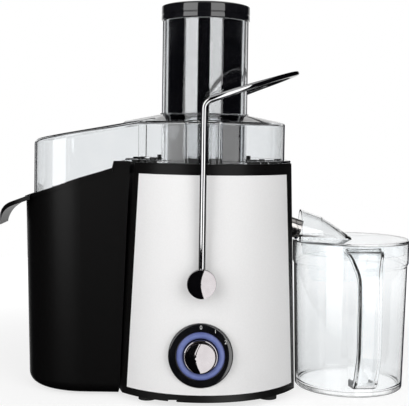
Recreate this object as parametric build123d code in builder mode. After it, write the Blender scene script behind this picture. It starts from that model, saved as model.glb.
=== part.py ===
from build123d import *
import os
from math import cos, radians, sin, sqrt, tan

os.makedirs("parts", exist_ok=True)

# Frame: Z is the drive axis, X points to the jug, Y away from the user, table at zero; all in millimetres
SKIRT_LOW = 6.0
SKIRT_HIGH = 6.5
SHELL_HIGH = 192.2
RIM_HIGH = 9.8
SKIRT_TOP = SKIRT_LOW + SKIRT_HIGH
RIM_LOW = SKIRT_TOP + SHELL_HIGH
RIM_TOP = RIM_LOW + RIM_HIGH
WALL = 2.6
PANEL = 1.2
FREE = 0.4
RUN = 0.05

# Steel bowl in the middle; the body, lid and basket keep their distance from its radius
BOWL_R = 73.0
BOWL_WALL = 1.5
BOWL_HIGH = 68.5
BOWL_FLANGE_R = BOWL_R + 3.0
LEDGE_Z = RIM_TOP - 3.0
BOWL_LOW = LEDGE_Z - BOWL_HIGH

# Body outline at the skirt and at the rim: front radius, flat right side, left corner and left bulge
FRONT_R = (BOWL_R + 23.0, BOWL_R + 17.0)
RIGHT_X = (BOWL_R + 14.0, BOWL_R + 8.4)
LEFT_CORNER = (2.7 - BOWL_R, 11.0 - BOWL_R)
LEFT_MID = (-7.0 - BOWL_R, -6.0 - BOWL_R)
PANEL_LEFT = (LEFT_CORNER[0] + 4.2, LEFT_CORNER[1] + 4.4)
PANEL_RIGHT = (RIGHT_X[0] - 3.1, RIGHT_X[1] - 5.4)
FRONT = FRONT_R[0]
BEYOND = FRONT + 24.0
BACK = LEFT_MID[1]

# Dial and arm pivot on the front
DIAL_Z = SKIRT_TOP + 34.9
BEZEL_R = 28.5
BEZEL_FRONT = FRONT + 1.6
BEZEL_BACK = FRONT - 12.0
INWARD = BEZEL_BACK - 24.0
GLOW_R = (15.6, 21.2)
KNOB_R = GLOW_R[0] - 0.6
KNOB_BACK = BEZEL_FRONT - 1.0
KNOB_FRONT = KNOB_BACK + 5.8
SPINDLE_R = 3.0
PIVOT_Z = SKIRT_TOP + 99.2
PIN_R = 5.0
BUSH_R = PIN_R + 3.0
BUSH_OUT = FRONT - 0.6
ROD_R = 3.0
ARM_Y = BUSH_OUT + ROD_R + 1.0
EYE_OUT = ARM_Y + 3.1
CAP_R = 12.8
CORD_Z = SKIRT_TOP + 12.5
BOARD_Z = SKIRT_TOP + 45.5

# Locking arm loop
BEND_Z = RIM_TOP + 54.3
BEND_R = 9.0
LOOP_RISE = 19.2
LOOP_REACH = 90.0
STRAP_THICK = 4.2
STRAP_WIDE = 10.0

# Feed lid and pusher
LID_R = BOWL_R + 4.3
LID_WALL = 2.2
FLANGE_R = BOWL_R + 14.0
FLANGE_TOP = RIM_TOP + 2.5
LID_SHOULDER = RIM_TOP + 37.2
LID_CROWN = LID_SHOULDER + 7.0
CHUTE_R = 40.9
CHUTE_BORE = CHUTE_R - 3.6
CHUTE_LOW = RIM_TOP - 36.5
CHUTE_TOP = LID_CROWN + 89.4
PUSHER_R = CHUTE_BORE - 1.7
PUSHER_LOW = CHUTE_LOW + 3.0
PUSHER_WALL = 2.4
CAP_HIGH = 13.9
CAP_TOP = CHUTE_TOP + CAP_HIGH
PUSHER_CAP_R = CHUTE_R + 1.4
BLOCK_Y = (BOWL_R - 3.0, ARM_Y - 11.4)

# Hood over the pulp bin
HOOD_LEFT = BACK - 81.2
HOOD_HALF = 49.0
HOOD_DROP = 5.0
HOOD_CORNER = 36.0

# Spout and basket
SPOUT_R = 9.25
SPOUT_BORE = SPOUT_R - 1.5
SPOUT_SLOPE = 18.3
SPOUT_X = RIGHT_X[1] + 2.9
SPOUT_Z = BOWL_LOW + 9.7
SPOUT_END = SPOUT_X + 9.7
DECK_Z = (BOWL_LOW - 7.0, BOWL_LOW - 4.0)
BASKET_HIGH = 49.0
BASKET_TOP = RIM_TOP - 0.5
BASKET_FLOOR = BASKET_TOP - BASKET_HIGH
BASKET_R = (46.0, BOWL_R - 4.0)

# Motor, hung under the deck
SHAFT_R = 4.0
STACK_HIGH = 38.0
STACK_HALF = 38.0
STACK_BORE = 23.0
ROTOR_R = STACK_BORE - 0.8
BRUSH_R = 13.8
BOLT_SPOT = 31.0
BOLT_R = 2.0
PLATE = 3.0
PLATE_R = 47.0
UPPER_PLATE = (DECK_Z[0] - 18.0, DECK_Z[0] - 18.0 + PLATE)
STACK_Z = (UPPER_PLATE[0] - 18.0 - STACK_HIGH, UPPER_PLATE[0] - 18.0)
LOWER_PLATE = (STACK_Z[0] - 23.0 - PLATE, STACK_Z[0] - 23.0)
BRUSH_Z = (LOWER_PLATE[1] + 3.0, LOWER_PLATE[1] + 10.0)
SHAFT_LOW = LOWER_PLATE[0] - 21.0
SHAFT_TOP = BOWL_LOW + 17.0
BEARING_R = 11.0
BEARING_HIGH = 7.0
WINDING = 7.0
FAN_R = 36.0
DRIVE_Z = DECK_Z[1] + 9.0
DRIVE_HEX = 11.0

# Pulp bin
BIN_LEFT = (LEFT_MID[0] - 84.4, BACK - 90.5)
BIN_HALF = (60.0, 65.0)
BIN_LOW = 2.5
BIN_HIGH = RIM_TOP + 7.5
BIN_WALL = 2.5
BIN_CORNER = 58.0
BIN_GAP = (1.2, 3.9)
RIM_SLOPE = 0.34
TRUNNION = (BACK + 7.0, RIM_TOP - 7.5)
TRUNNION_R = 2.5
LUG_Y = (52.0, 57.0)
WALL_TOP = RIM_TOP - 24.5
GRIP_HALF = 44.0

# Juice jug under the spout
JUG_X = RIGHT_X[0] + 56.0
JUG_R = (51.6, 54.8)
JUG_TOP = SPOUT_Z - 12.4
JUG_WALL = 2.4
COLLAR = 1.0
COLLAR_Z = (JUG_TOP - 23.3, JUG_TOP - 20.3)
JUG_FLOOR = 4.0
HANDLE_HALF = 10.8
HANDLE_TURN = 3.6
PLATE_TOP = JUG_TOP + 2.0
NOTCH_HALF = 19.0

# Screw posts lean on the inside of the round wall; the feet stand inside them
SCREW_X = 45.0
SCREW_Y = ((FRONT - 7.5) ** 2 - SCREW_X ** 2) ** 0.5
FOOT_SPOTS = ((25.0 - BOWL_R, BOWL_R - 11.0), (BOWL_R - 11.0, BOWL_R - 19.0))
FEET = [(x, side * y) for side in (-1, 1) for x, y in FOOT_SPOTS]
SCREWS = [(sx * SCREW_X, sy * SCREW_Y) for sx, sy in ((-1, -1), (1, -1), (1, 1), (-1, 1))]
BOLTS = [(sx * BOLT_SPOT, sy * BOLT_SPOT) for sx in (-1, 1) for sy in (-1, 1)]


def at_height(ends, z):
    return ends[0] + (ends[1] - ends[0]) * (z - SKIRT_TOP) / (RIM_LOW - SKIRT_TOP)


def rim_z(x):
    return RIM_TOP - 4.5 + RIM_SLOPE * (x - BACK + 0.7)


def save(builder, label):
    builder.part.label = label
    export_step(builder.part, f"parts/{label}.step")


def body_slab(low, high, inset, top_inset=None):
    """The body's tapered outline between two heights, moved inwards by inset, or by two insets."""
    with BuildPart() as slab:
        for z, inset in ((low, inset), (high, inset if top_inset is None else top_inset)):
            full = at_height(FRONT_R, z)
            corner, mid = at_height(LEFT_CORNER, z), at_height(LEFT_MID, z)
            sag = corner - mid
            bulge = (full**2 - corner**2 + sag**2) / (2 * sag)
            centre = mid + bulge
            r, side, bulge = full - inset, at_height(RIGHT_X, z) - inset, bulge - inset
            left = (r**2 + centre**2 - bulge**2) / (2 * centre)
            half, reach = sqrt(r**2 - left**2), sqrt(r**2 - side**2)
            with BuildSketch(Plane.XY.offset(z)):
                with BuildLine():
                    ThreePointArc((left, -half), (0, -r), (side, -reach))
                    Line((side, -reach), (side, reach))
                    ThreePointArc((side, reach), (0, r), (left, half))
                    ThreePointArc((left, half), (centre - bulge, 0), (left, -half))
                make_face()
        loft(ruled=True)
    return slab.part


def turned(points):
    """A closed profile of radius and height turned about the drive axis."""
    with BuildPart() as ring:
        with BuildSketch(Plane.XZ):
            with BuildLine():
                Polyline(*points, close=True)
            make_face()
        revolve(axis=Axis.Z)
    return ring.part


def side_slab(points, low, high):
    """A profile of X and Z extruded between two depths."""
    with BuildPart() as slab:
        with BuildSketch(Plane((0, low, 0), x_dir=(1, 0, 0), z_dir=(0, -1, 0))):
            with BuildLine():
                Polyline(*points, close=True)
            make_face()
        extrude(amount=low - high)
    return slab.part


def round_bar(start, end, radius):
    """A round bar between two points."""
    run = Vector(*end) - Vector(*start)
    with BuildPart() as bar:
        with BuildSketch(Plane(start, z_dir=run)):
            Circle(radius)
        extrude(amount=run.length)
    return bar.part


def block(x, y, z):
    """A box from three pairs of limits."""
    with BuildPart() as box:
        with BuildSketch(Plane(((x[0] + x[1]) / 2, (y[0] + y[1]) / 2, z[0]))):
            Rectangle(x[1] - x[0], y[1] - y[0])
        extrude(amount=z[1] - z[0])
    return box.part


def post(spot, low, high, radius):
    return round_bar((spot[0], spot[1], low), (spot[0], spot[1], high), radius)


# Bars along Y at the dial and at the arm pivots
def dial_bar(near, far, radius):
    return round_bar((0, -near, DIAL_Z), (0, -far, DIAL_Z), radius)


def pivot_bar(side, near, far, radius):
    return round_bar((0, side * near, PIVOT_Z), (0, side * far, PIVOT_Z), radius)


# Juice spout line, falling to the right through the body wall
def spout_bar(start_x, end_x, radius):
    fall = tan(radians(SPOUT_SLOPE))
    ends = [(x, 0, SPOUT_Z - (x - SPOUT_X) * fall) for x in (start_x, end_x)]
    return round_bar(ends[0], ends[1], radius)


# White front panel, a thin curved sheet let into the housing
panel_edge = [(at_height(PANEL_LEFT, z), z) for z in (0, RIM_TOP)]
panel_edge += [(at_height(PANEL_RIGHT, z), z) for z in (RIM_TOP, 0)]
with BuildPart() as panel_blank:
    add(body_slab(SKIRT_TOP, RIM_LOW, 0))
    add(body_slab(SKIRT_TOP, RIM_LOW, PANEL), mode=Mode.SUBTRACT)
    add(side_slab(panel_edge, -BEYOND, -20), mode=Mode.INTERSECT)

with BuildPart() as front_panel:
    add(panel_blank.part)
    add(dial_bar(INWARD, BEYOND, BEZEL_R), mode=Mode.SUBTRACT)
    add(pivot_bar(-1, INWARD, BEYOND, BUSH_R), mode=Mode.SUBTRACT)
save(front_panel, "front_panel")

# Moulded housing with its screw posts and the pads for the interlock switch and the control board
with BuildPart() as pads:
    add(block((12, 30), (-FRONT, -BEZEL_BACK), (PIVOT_Z - 8, PIVOT_Z + 8)))
    add(block((-24, 24), (BEZEL_BACK, FRONT + 2), (BOARD_Z - 18, BOARD_Z + 18)))
    add(body_slab(SKIRT_TOP, RIM_LOW, PANEL + 0.6), mode=Mode.INTERSECT)

with BuildPart() as housing:
    add(body_slab(SKIRT_TOP, RIM_LOW, 0))
    add(body_slab(SKIRT_TOP, RIM_LOW, WALL), mode=Mode.SUBTRACT)
    add(pads.part)
    for spot in SCREWS:
        add(post(spot, SKIRT_TOP, SKIRT_TOP + 19.5, 5))
        add(post(spot, SKIRT_TOP, SKIRT_TOP + 15.5, BOLT_R), mode=Mode.SUBTRACT)
    add(panel_blank.part, mode=Mode.SUBTRACT)
    add(dial_bar(INWARD, BEYOND, BEZEL_R), mode=Mode.SUBTRACT)
    for side in (-1, 1):
        add(pivot_bar(side, BEZEL_BACK + 2, BEYOND, BUSH_R), mode=Mode.SUBTRACT)
    add(spout_bar(BOWL_R - 3, SPOUT_END + 2, SPOUT_R + FREE), mode=Mode.SUBTRACT)
    add(round_bar((0, INWARD, CORD_Z), (0, BEYOND, CORD_Z), 7), mode=Mode.SUBTRACT)
save(housing, "housing")

# Rim ring with the ledge for the bowl and two lugs whose pins carry the bin
with BuildPart() as top_rim:
    add(body_slab(RIM_LOW, RIM_TOP, 0))
    add(post((0, 0), RIM_LOW, RIM_TOP, BOWL_R + 1), mode=Mode.SUBTRACT)
    add(post((0, 0), LEDGE_Z, RIM_TOP, BOWL_FLANGE_R + FREE), mode=Mode.SUBTRACT)
    for side in (-1, 1):
        depth = sorted((side * LUG_Y[0], side * LUG_Y[1]))
        add(block((TRUNNION[0] - 4, LEFT_CORNER[1]), depth, (RIM_LOW, TRUNNION[1] + 4)))
        ends = [(TRUNNION[0], side * y, TRUNNION[1]) for y in (LUG_Y[1] - 2, LUG_Y[1] + 5)]
        add(round_bar(ends[0], ends[1], TRUNNION_R))
    save(top_rim, "top_rim")

# Base tray with vents under the motor, its feet and screws
with BuildPart() as base_plate:
    add(body_slab(SKIRT_LOW, SKIRT_TOP, 0))
    add(body_slab(SKIRT_LOW + 2.5, SKIRT_TOP + 1, 3.5), mode=Mode.SUBTRACT)
    for spot in FEET:
        add(post(spot, SKIRT_LOW, SKIRT_LOW + 4.5, 10))
    for spot in SCREWS:
        add(post(spot, SKIRT_LOW, SKIRT_TOP, 5.5))
    for spot in FEET:
        add(post(spot, SKIRT_LOW, SKIRT_LOW + 2, 8), mode=Mode.SUBTRACT)
    for spot in SCREWS:
        add(post(spot, SKIRT_LOW, SKIRT_TOP, BOLT_R), mode=Mode.SUBTRACT)
        add(post(spot, SKIRT_LOW, SKIRT_LOW + 2.4, 4), mode=Mode.SUBTRACT)
    with BuildSketch(Plane.XY.offset(SKIRT_LOW)):
        for ring, count in ((16, 8), (27, 12), (38, 16)):
            with PolarLocations(ring, count):
                SlotOverall(9, 3)
    extrude(amount=3, mode=Mode.SUBTRACT)
    add(block((-28, -20.6), (-FRONT - 4, 8 - FRONT), (SKIRT_LOW - 1, SKIRT_LOW + 2.4)), mode=Mode.SUBTRACT)
save(base_plate, "base_plate")

with BuildPart() as rubber_feet:
    for spot in FEET:
        add(post(spot, 0, SKIRT_LOW + 2, 8))
save(rubber_feet, "rubber_feet")

with BuildPart() as base_screws:
    for spot in SCREWS:
        add(post(spot, SKIRT_LOW + 0.4, SKIRT_LOW + 2.4, 3.8))
        add(post(spot, SKIRT_LOW + 2.4, SKIRT_TOP + 13.5, BOLT_R))
save(base_screws, "base_screws")

# Power cord gland in the back wall
with BuildPart() as cord_inlet:
    add(round_bar((0, BEZEL_BACK + 4, CORD_Z), (0, FRONT + 3, CORD_Z), 7))
    add(round_bar((0, FRONT + 3, CORD_Z), (0, FRONT + 9, CORD_Z), 5.4))
    add(round_bar((0, BEZEL_BACK, CORD_Z), (0, BEZEL_BACK + 4, CORD_Z), 9))
    add(round_bar((0, INWARD, CORD_Z), (0, BEYOND, CORD_Z), 3.4), mode=Mode.SUBTRACT)
save(cord_inlet, "cord_inlet")

# Dial on the front: bezel, lit ring with its lamp board, switch, knob and spindle
with BuildPart() as dial_bezel:
    add(dial_bar(BEZEL_BACK, BEZEL_FRONT, BEZEL_R))
    add(dial_bar(BEZEL_BACK + 6, BEYOND, GLOW_R[1]), mode=Mode.SUBTRACT)
    add(dial_bar(BEZEL_BACK, BEZEL_FRONT, GLOW_R[0]))
    add(dial_bar(KNOB_BACK - 0.6, BEYOND, KNOB_R + 0.3), mode=Mode.SUBTRACT)
    add(dial_bar(INWARD, BEYOND, SPINDLE_R + FREE), mode=Mode.SUBTRACT)
save(dial_bezel, "dial_bezel")

with BuildPart() as light_ring:
    add(dial_bar(BEZEL_BACK + 7.6, BEZEL_FRONT + 0.6, GLOW_R[1]))
    add(dial_bar(INWARD, BEYOND, GLOW_R[0]), mode=Mode.SUBTRACT)
save(light_ring, "light_ring")

with BuildPart() as lamp_board:
    add(dial_bar(BEZEL_BACK + 6, BEZEL_BACK + 7.6, GLOW_R[1]))
    add(dial_bar(INWARD, BEYOND, GLOW_R[0]), mode=Mode.SUBTRACT)
save(lamp_board, "lamp_board")

with BuildPart() as rotary_switch:
    add(block((-15, 15), (-BEZEL_BACK, -INWARD - 4), (DIAL_Z - 13, DIAL_Z + 13)))
    add(block((-11, 11), (-INWARD - 4, -INWARD), (DIAL_Z - 8, DIAL_Z + 8)))
    add(dial_bar(INWARD + 9, BEYOND, SPINDLE_R + RUN), mode=Mode.SUBTRACT)
save(rotary_switch, "rotary_switch")

with BuildPart() as switch_spindle:
    add(dial_bar(INWARD + 10, KNOB_FRONT + 1.6, SPINDLE_R))
save(switch_spindle, "switch_spindle")

with BuildPart() as dial_knob:
    add(dial_bar(KNOB_BACK, KNOB_FRONT, KNOB_R))
    with BuildSketch(Plane((0, -KNOB_FRONT, DIAL_Z), x_dir=(1, 0, 0), z_dir=(0, -1, 0))):
        with BuildLine():
            ThreePointArc((0, 1.4 - KNOB_R), (6.6, 0), (0, KNOB_R - 1.4))
            ThreePointArc((0, KNOB_R - 1.4), (-6.6, 0), (0, 1.4 - KNOB_R))
        make_face()
    extrude(amount=6, taper=12)
    add(dial_bar(INWARD, KNOB_FRONT + 1.6, SPINDLE_R), mode=Mode.SUBTRACT)
save(dial_knob, "dial_knob")

with BuildPart() as interlock_switch:
    add(block((13, 29), (-BEZEL_BACK, 8 - BEZEL_BACK), (PIVOT_Z - 7, PIVOT_Z + 7)))
    add(block((10.5, 13), (2 - BEZEL_BACK, 6 - BEZEL_BACK), (PIVOT_Z - 3, PIVOT_Z + 3)))
save(interlock_switch, "interlock_switch")

with BuildPart() as control_board:
    add(block((-22, 22), (BEZEL_BACK - 1.6, BEZEL_BACK), (BOARD_Z - 16, BOARD_Z + 16)))
    add(block((-18, -6), (BEZEL_BACK - 14, BEZEL_BACK - 1.6), (BOARD_Z - 12, BOARD_Z + 2)))
    add(block((2, 16), (BEZEL_BACK - 10, BEZEL_BACK - 1.6), (BOARD_Z - 8, BOARD_Z + 12)))
save(control_board, "control_board")

# Deck that closes off the motor room, with the shaft seal
with BuildPart() as motor_deck:
    add(body_slab(DECK_Z[0], DECK_Z[1], WALL + 0.3))
    add(post((0, 0), DECK_Z[0], DECK_Z[1], 13), mode=Mode.SUBTRACT)
save(motor_deck, "motor_deck")

with BuildPart() as shaft_seal:
    add(post((0, 0), DECK_Z[0], DECK_Z[1], 13))
    add(post((0, 0), DECK_Z[0], DECK_Z[1], SHAFT_R + FREE), mode=Mode.SUBTRACT)
save(shaft_seal, "shaft_seal")

# Universal motor hung from the deck on rubber dampers
with BuildPart() as motor_stator:
    with BuildSketch(Plane.XY.offset(STACK_Z[0])):
        RectangleRounded(2 * STACK_HALF, 2 * STACK_HALF, 8)
        RectangleRounded(50, 62, 10, mode=Mode.SUBTRACT)
    extrude(amount=STACK_Z[1] - STACK_Z[0])
    with BuildSketch(Plane.XY.offset(STACK_Z[0])):
        Rectangle(56, 22)
    extrude(amount=STACK_Z[1] - STACK_Z[0])
    add(post((0, 0), STACK_Z[0], STACK_Z[1], STACK_BORE), mode=Mode.SUBTRACT)
    for spot in BOLTS:
        add(post(spot, STACK_Z[0], STACK_Z[1], BOLT_R), mode=Mode.SUBTRACT)
save(motor_stator, "motor_stator")

with BuildPart() as field_coils:
    for side in (-1, 1):
        limits = sorted((side * 12, side * 24))
        add(block((-22, 22), limits, (STACK_Z[0] - 8, STACK_Z[1] + 8)))
    for low in (STACK_Z[0] - 8, STACK_Z[1]):
        with BuildSketch(Plane.XY.offset(low)):
            Circle(31)
            Rectangle(70, 48, mode=Mode.INTERSECT)
        extrude(amount=8)
    add(post((0, 0), 0, DECK_Z[1], STACK_BORE + 1.6), mode=Mode.SUBTRACT)
save(field_coils, "field_coils")

with BuildPart() as upper_motor_bracket:
    add(post((0, 0), UPPER_PLATE[0], UPPER_PLATE[1], PLATE_R))
    add(post((0, 0), UPPER_PLATE[0] - BEARING_HIGH, UPPER_PLATE[0], BEARING_R + 3))
    for spot in BOLTS:
        add(post(spot, STACK_Z[1], UPPER_PLATE[0], 5))
        add(post(spot, STACK_Z[1], UPPER_PLATE[1], BOLT_R), mode=Mode.SUBTRACT)
    add(post((0, 0), 0, UPPER_PLATE[0], BEARING_R), mode=Mode.SUBTRACT)
    add(post((0, 0), 0, DECK_Z[0], SHAFT_R + 2), mode=Mode.SUBTRACT)
save(upper_motor_bracket, "upper_motor_bracket")

with BuildPart() as lower_motor_bracket:
    add(post((0, 0), LOWER_PLATE[0], LOWER_PLATE[1], PLATE_R))
    add(post((0, 0), LOWER_PLATE[0] - BEARING_HIGH, LOWER_PLATE[0], BEARING_R + 3))
    for spot in BOLTS:
        add(post(spot, LOWER_PLATE[1], STACK_Z[0], 5))
        add(post(spot, LOWER_PLATE[0], STACK_Z[0], BOLT_R), mode=Mode.SUBTRACT)
    add(post((0, 0), 0, LOWER_PLATE[0], BEARING_R), mode=Mode.SUBTRACT)
    add(post((0, 0), 0, STACK_Z[0], SHAFT_R + 2), mode=Mode.SUBTRACT)
save(lower_motor_bracket, "lower_motor_bracket")

with BuildPart() as motor_screws:
    for spot in BOLTS:
        add(post(spot, LOWER_PLATE[0], UPPER_PLATE[1], BOLT_R))
        add(post(spot, LOWER_PLATE[0] - 3, LOWER_PLATE[0], 3.6))
        add(post(spot, UPPER_PLATE[1], UPPER_PLATE[1] + 3, 3.6))
save(motor_screws, "motor_screws")

with BuildPart() as motor_dampers:
    for spot in ((STACK_HALF, 0), (0, STACK_HALF), (-STACK_HALF, 0), (0, -STACK_HALF)):
        add(post(spot, UPPER_PLATE[1], DECK_Z[0], 7))
save(motor_dampers, "motor_dampers")

bearing_low = {"upper_bearing": UPPER_PLATE[0], "lower_bearing": LOWER_PLATE[0]}
for label, top in bearing_low.items():
    with BuildPart() as bearing:
        add(post((0, 0), top - BEARING_HIGH, top, BEARING_R))
        add(post((0, 0), top - BEARING_HIGH, top, SHAFT_R + RUN), mode=Mode.SUBTRACT)
    save(bearing, label)

with BuildPart() as brush_holders:
    for side in (-1, 1):
        holder = sorted((side * (BRUSH_R + 2.2), side * STACK_HALF))
        bore = sorted((side * (BRUSH_R + 1.2), side * (STACK_HALF - 2)))
        add(block(holder, (-6, 6), (LOWER_PLATE[1], BRUSH_Z[1] + 3)))
        add(block(bore, (-3.5, 3.5), BRUSH_Z), mode=Mode.SUBTRACT)
save(brush_holders, "brush_holders")

with BuildPart() as carbon_brushes:
    for side in (-1, 1):
        add(block(sorted((side * BRUSH_R, side * (STACK_HALF - 8))), (-3.5, 3.5), BRUSH_Z))
    add(post((0, 0), LOWER_PLATE[0], STACK_Z[0], BRUSH_R), mode=Mode.SUBTRACT)
save(carbon_brushes, "carbon_brushes")

# Turning set: shaft, armature, commutator, fan and coupling
with BuildPart() as motor_shaft:
    add(post((0, 0), SHAFT_LOW, SHAFT_TOP, SHAFT_R))
save(motor_shaft, "motor_shaft")

with BuildPart() as armature:
    add(post((0, 0), STACK_Z[0], STACK_Z[1], ROTOR_R))
    with BuildSketch(Plane.XY.offset(STACK_Z[0])):
        with PolarLocations(ROTOR_R - 3, 12):
            Rectangle(8, 2.4)
    extrude(amount=STACK_Z[1] - STACK_Z[0], mode=Mode.SUBTRACT)
    add(post((0, 0), STACK_Z[0], STACK_Z[1], SHAFT_R), mode=Mode.SUBTRACT)
save(armature, "armature")

with BuildPart() as armature_windings:
    for low in (STACK_Z[0] - WINDING, STACK_Z[1]):
        add(post((0, 0), low, low + WINDING, ROTOR_R - 3.7))
    add(post((0, 0), LOWER_PLATE[0], DECK_Z[0], SHAFT_R), mode=Mode.SUBTRACT)
save(armature_windings, "armature_windings")

with BuildPart() as commutator:
    add(post((0, 0), LOWER_PLATE[1] + 2, STACK_Z[0] - WINDING, BRUSH_R - 0.6))
    add(post((0, 0), LOWER_PLATE[1] + 2, STACK_Z[0] - WINDING, SHAFT_R), mode=Mode.SUBTRACT)
save(commutator, "commutator")

with BuildPart() as cooling_fan:
    add(post((0, 0), SHAFT_LOW + 1, SHAFT_LOW + 3, FAN_R))
    add(post((0, 0), SHAFT_LOW + 1, SHAFT_LOW + 12, 8))
    with BuildSketch(Plane.XY.offset(SHAFT_LOW + 3)):
        with PolarLocations(FAN_R - 13.5, 9):
            Rectangle(26, 1.6, rotation=24)
    extrude(amount=8)
    add(post((0, 0), 0, LOWER_PLATE[0], SHAFT_R), mode=Mode.SUBTRACT)
save(cooling_fan, "cooling_fan")

with BuildPart() as drive_coupling:
    add(post((0, 0), DECK_Z[1] + 2, DRIVE_Z, 13))
    with BuildSketch(Plane.XY.offset(DRIVE_Z)):
        RegularPolygon(DRIVE_HEX, 6)
    extrude(amount=14)
    add(post((0, 0), DECK_Z[0], SHAFT_TOP, SHAFT_R), mode=Mode.SUBTRACT)
save(drive_coupling, "drive_coupling")

# Filter basket: hub, sieve cone, rim and grater
with BuildPart() as basket_hub:
    add(post((0, 0), BASKET_FLOOR - 2, BASKET_FLOOR + 1, BASKET_R[0]))
    add(post((0, 0), DRIVE_Z + 1, BASKET_FLOOR - 2, DRIVE_HEX + 3))
    with BuildSketch(Plane.XY.offset(DRIVE_Z + 1)):
        RegularPolygon(DRIVE_HEX, 6)
    extrude(amount=13, mode=Mode.SUBTRACT)
save(basket_hub, "basket_hub")

with BuildPart() as grater_disc:
    add(post((0, 0), BASKET_FLOOR + 1, BASKET_FLOOR + 2.2, BASKET_R[0] - 1))
    with BuildSketch(Plane.XY.offset(BASKET_FLOOR + 2.2)):
        for ring, count in ((12, 8), (20, 12), (28, 16), (36, 20)):
            with PolarLocations(ring, count):
                Rectangle(4, 1, rotation=70)
    extrude(amount=1.4)
save(grater_disc, "grater_disc")

low_r, top_r = BASKET_R
with BuildPart() as filter_cone:
    sieve = [(low_r, BASKET_FLOOR - 2), (low_r + 0.8, BASKET_FLOOR - 2)]
    sieve += [(top_r + 0.8, BASKET_TOP - 4), (top_r, BASKET_TOP - 4)]
    sieve += [(low_r, BASKET_FLOOR + 1)]
    add(turned(sieve))
save(filter_cone, "filter_cone")

with BuildPart() as basket_rim:
    edge = [(top_r - 1, BASKET_TOP - 4), (top_r + 1.8, BASKET_TOP - 4)]
    edge += [(top_r + 1.8, BASKET_TOP), (top_r - 1, BASKET_TOP)]
    add(turned(edge))
save(basket_rim, "basket_rim")

# Steel juice bowl hung from the rim ledge, with its spout
with BuildPart() as juice_bowl:
    bowl = [(15.5, BOWL_LOW + 2), (22, BOWL_LOW), (BOWL_R, BOWL_LOW), (BOWL_R, LEDGE_Z)]
    bowl += [(BOWL_FLANGE_R, LEDGE_Z), (BOWL_FLANGE_R, LEDGE_Z + 1.5)]
    bowl += [(BOWL_R - BOWL_WALL, LEDGE_Z + 1.5), (BOWL_R - BOWL_WALL, BOWL_LOW + BOWL_WALL)]
    bowl += [(22.6, BOWL_LOW + BOWL_WALL), (17, BOWL_LOW + 15), (15.5, BOWL_LOW + 15)]
    add(turned(bowl))
    add(spout_bar(BOWL_R - 13, SPOUT_END, SPOUT_BORE), mode=Mode.SUBTRACT)
save(juice_bowl, "juice_bowl")

with BuildPart() as juice_spout:
    add(spout_bar(BOWL_R - 9, SPOUT_END, SPOUT_R))
    add(spout_bar(BOWL_R - 13, SPOUT_END + 12, SPOUT_BORE), mode=Mode.SUBTRACT)
    add(post((0, 0), DECK_Z[0], LEDGE_Z, BOWL_R), mode=Mode.SUBTRACT)
save(juice_spout, "juice_spout")


# Clear feed lid: round cap, hood over the bin, chute and the two locking blocks
def hood_block(inset, low):
    left, half = HOOD_LEFT + inset, HOOD_HALF - inset
    crest, start = LID_SHOULDER + 0.5 - inset, LEFT_CORNER[1] - 1
    profile = [(left, low), (left, crest - 25.3 + inset / 2), (HOOD_LEFT + 10.7 + inset / 2, crest - 17)]
    profile += [(start, crest), (start + 18, crest + 3), (start + 18, low)]
    with BuildPart() as shape:
        add(side_slab(profile, -half, half))
        fillet(shape.edges().filter_by(Axis.Z).group_by(Axis.X)[0], HOOD_CORNER - inset)
    return shape.part


with BuildPart() as hood_under:
    far, near, deep = HOOD_LEFT - 10, BACK - 9, RIM_TOP - 114.5
    edge = [(far, deep), (far, rim_z(far) - HOOD_DROP), (near, rim_z(near) - HOOD_DROP)]
    edge += [(BACK - 4, RIM_TOP), (0, RIM_TOP), (0, deep)]
    add(side_slab(edge, -HOOD_HALF - 30, HOOD_HALF + 30))

with BuildPart() as feed_lid:
    shoulder = [(0, RIM_TOP), (LID_R, RIM_TOP), (LID_R, LID_SHOULDER), (CHUTE_R + 1.4, LID_CROWN)]
    add(turned(shoulder + [(0, LID_CROWN)]))
    with BuildSketch(Plane.XY.offset(RIM_TOP)):
        Circle(FLANGE_R)
        with Locations(((BACK + RIGHT_X[1] - 0.4) / 2, 0)):
            Rectangle(RIGHT_X[1] - 0.4 - BACK, 3 * FLANGE_R, mode=Mode.INTERSECT)
    extrude(amount=FLANGE_TOP - RIM_TOP)
    for side in (-1, 1):
        base = sorted((side * BLOCK_Y[0], side * BLOCK_Y[1]))
        add(block((-16, 16), base, (RIM_TOP, LID_SHOULDER)))
        low, high = LID_SHOULDER - 1.5, LID_SHOULDER + 12.5
        saddle = [(-16, low), (-13, high - 8), (-7.4, high), (-3.6, high - 6), (3.6, high - 6), (7.4, high)]
        saddle += [(13, high - 8), (16, low)]
        add(side_slab(saddle, *sorted((side * BLOCK_Y[0], side * (BLOCK_Y[1] - 4)))))
    add(hood_block(0, CHUTE_LOW - 60))
    inside = [(0, CHUTE_LOW), (LID_R - LID_WALL, CHUTE_LOW), (LID_R - LID_WALL, LID_SHOULDER - 1.6)]
    inside += [(CHUTE_R, LID_CROWN - LID_WALL), (0, LID_CROWN - LID_WALL)]
    add(turned(inside), mode=Mode.SUBTRACT)
    add(hood_block(LID_WALL, CHUTE_LOW - 70), mode=Mode.SUBTRACT)
    add(hood_under.part, mode=Mode.SUBTRACT)
    add(post((0, 0), CHUTE_LOW, CHUTE_TOP, CHUTE_R))
    add(post((0, 0), LID_CROWN - 1, LID_CROWN + 1.2, CHUTE_R + 1.4))
    add(post((0, 0), CHUTE_LOW - 20, CHUTE_TOP + 20, CHUTE_BORE), mode=Mode.SUBTRACT)
save(feed_lid, "feed_lid")

# Pusher in the chute
with BuildPart() as pusher_barrel:
    add(post((0, 0), PUSHER_LOW, CHUTE_TOP, PUSHER_R))
    add(post((0, 0), PUSHER_LOW + 3, CHUTE_TOP, PUSHER_R - PUSHER_WALL), mode=Mode.SUBTRACT)
save(pusher_barrel, "pusher_barrel")

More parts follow.
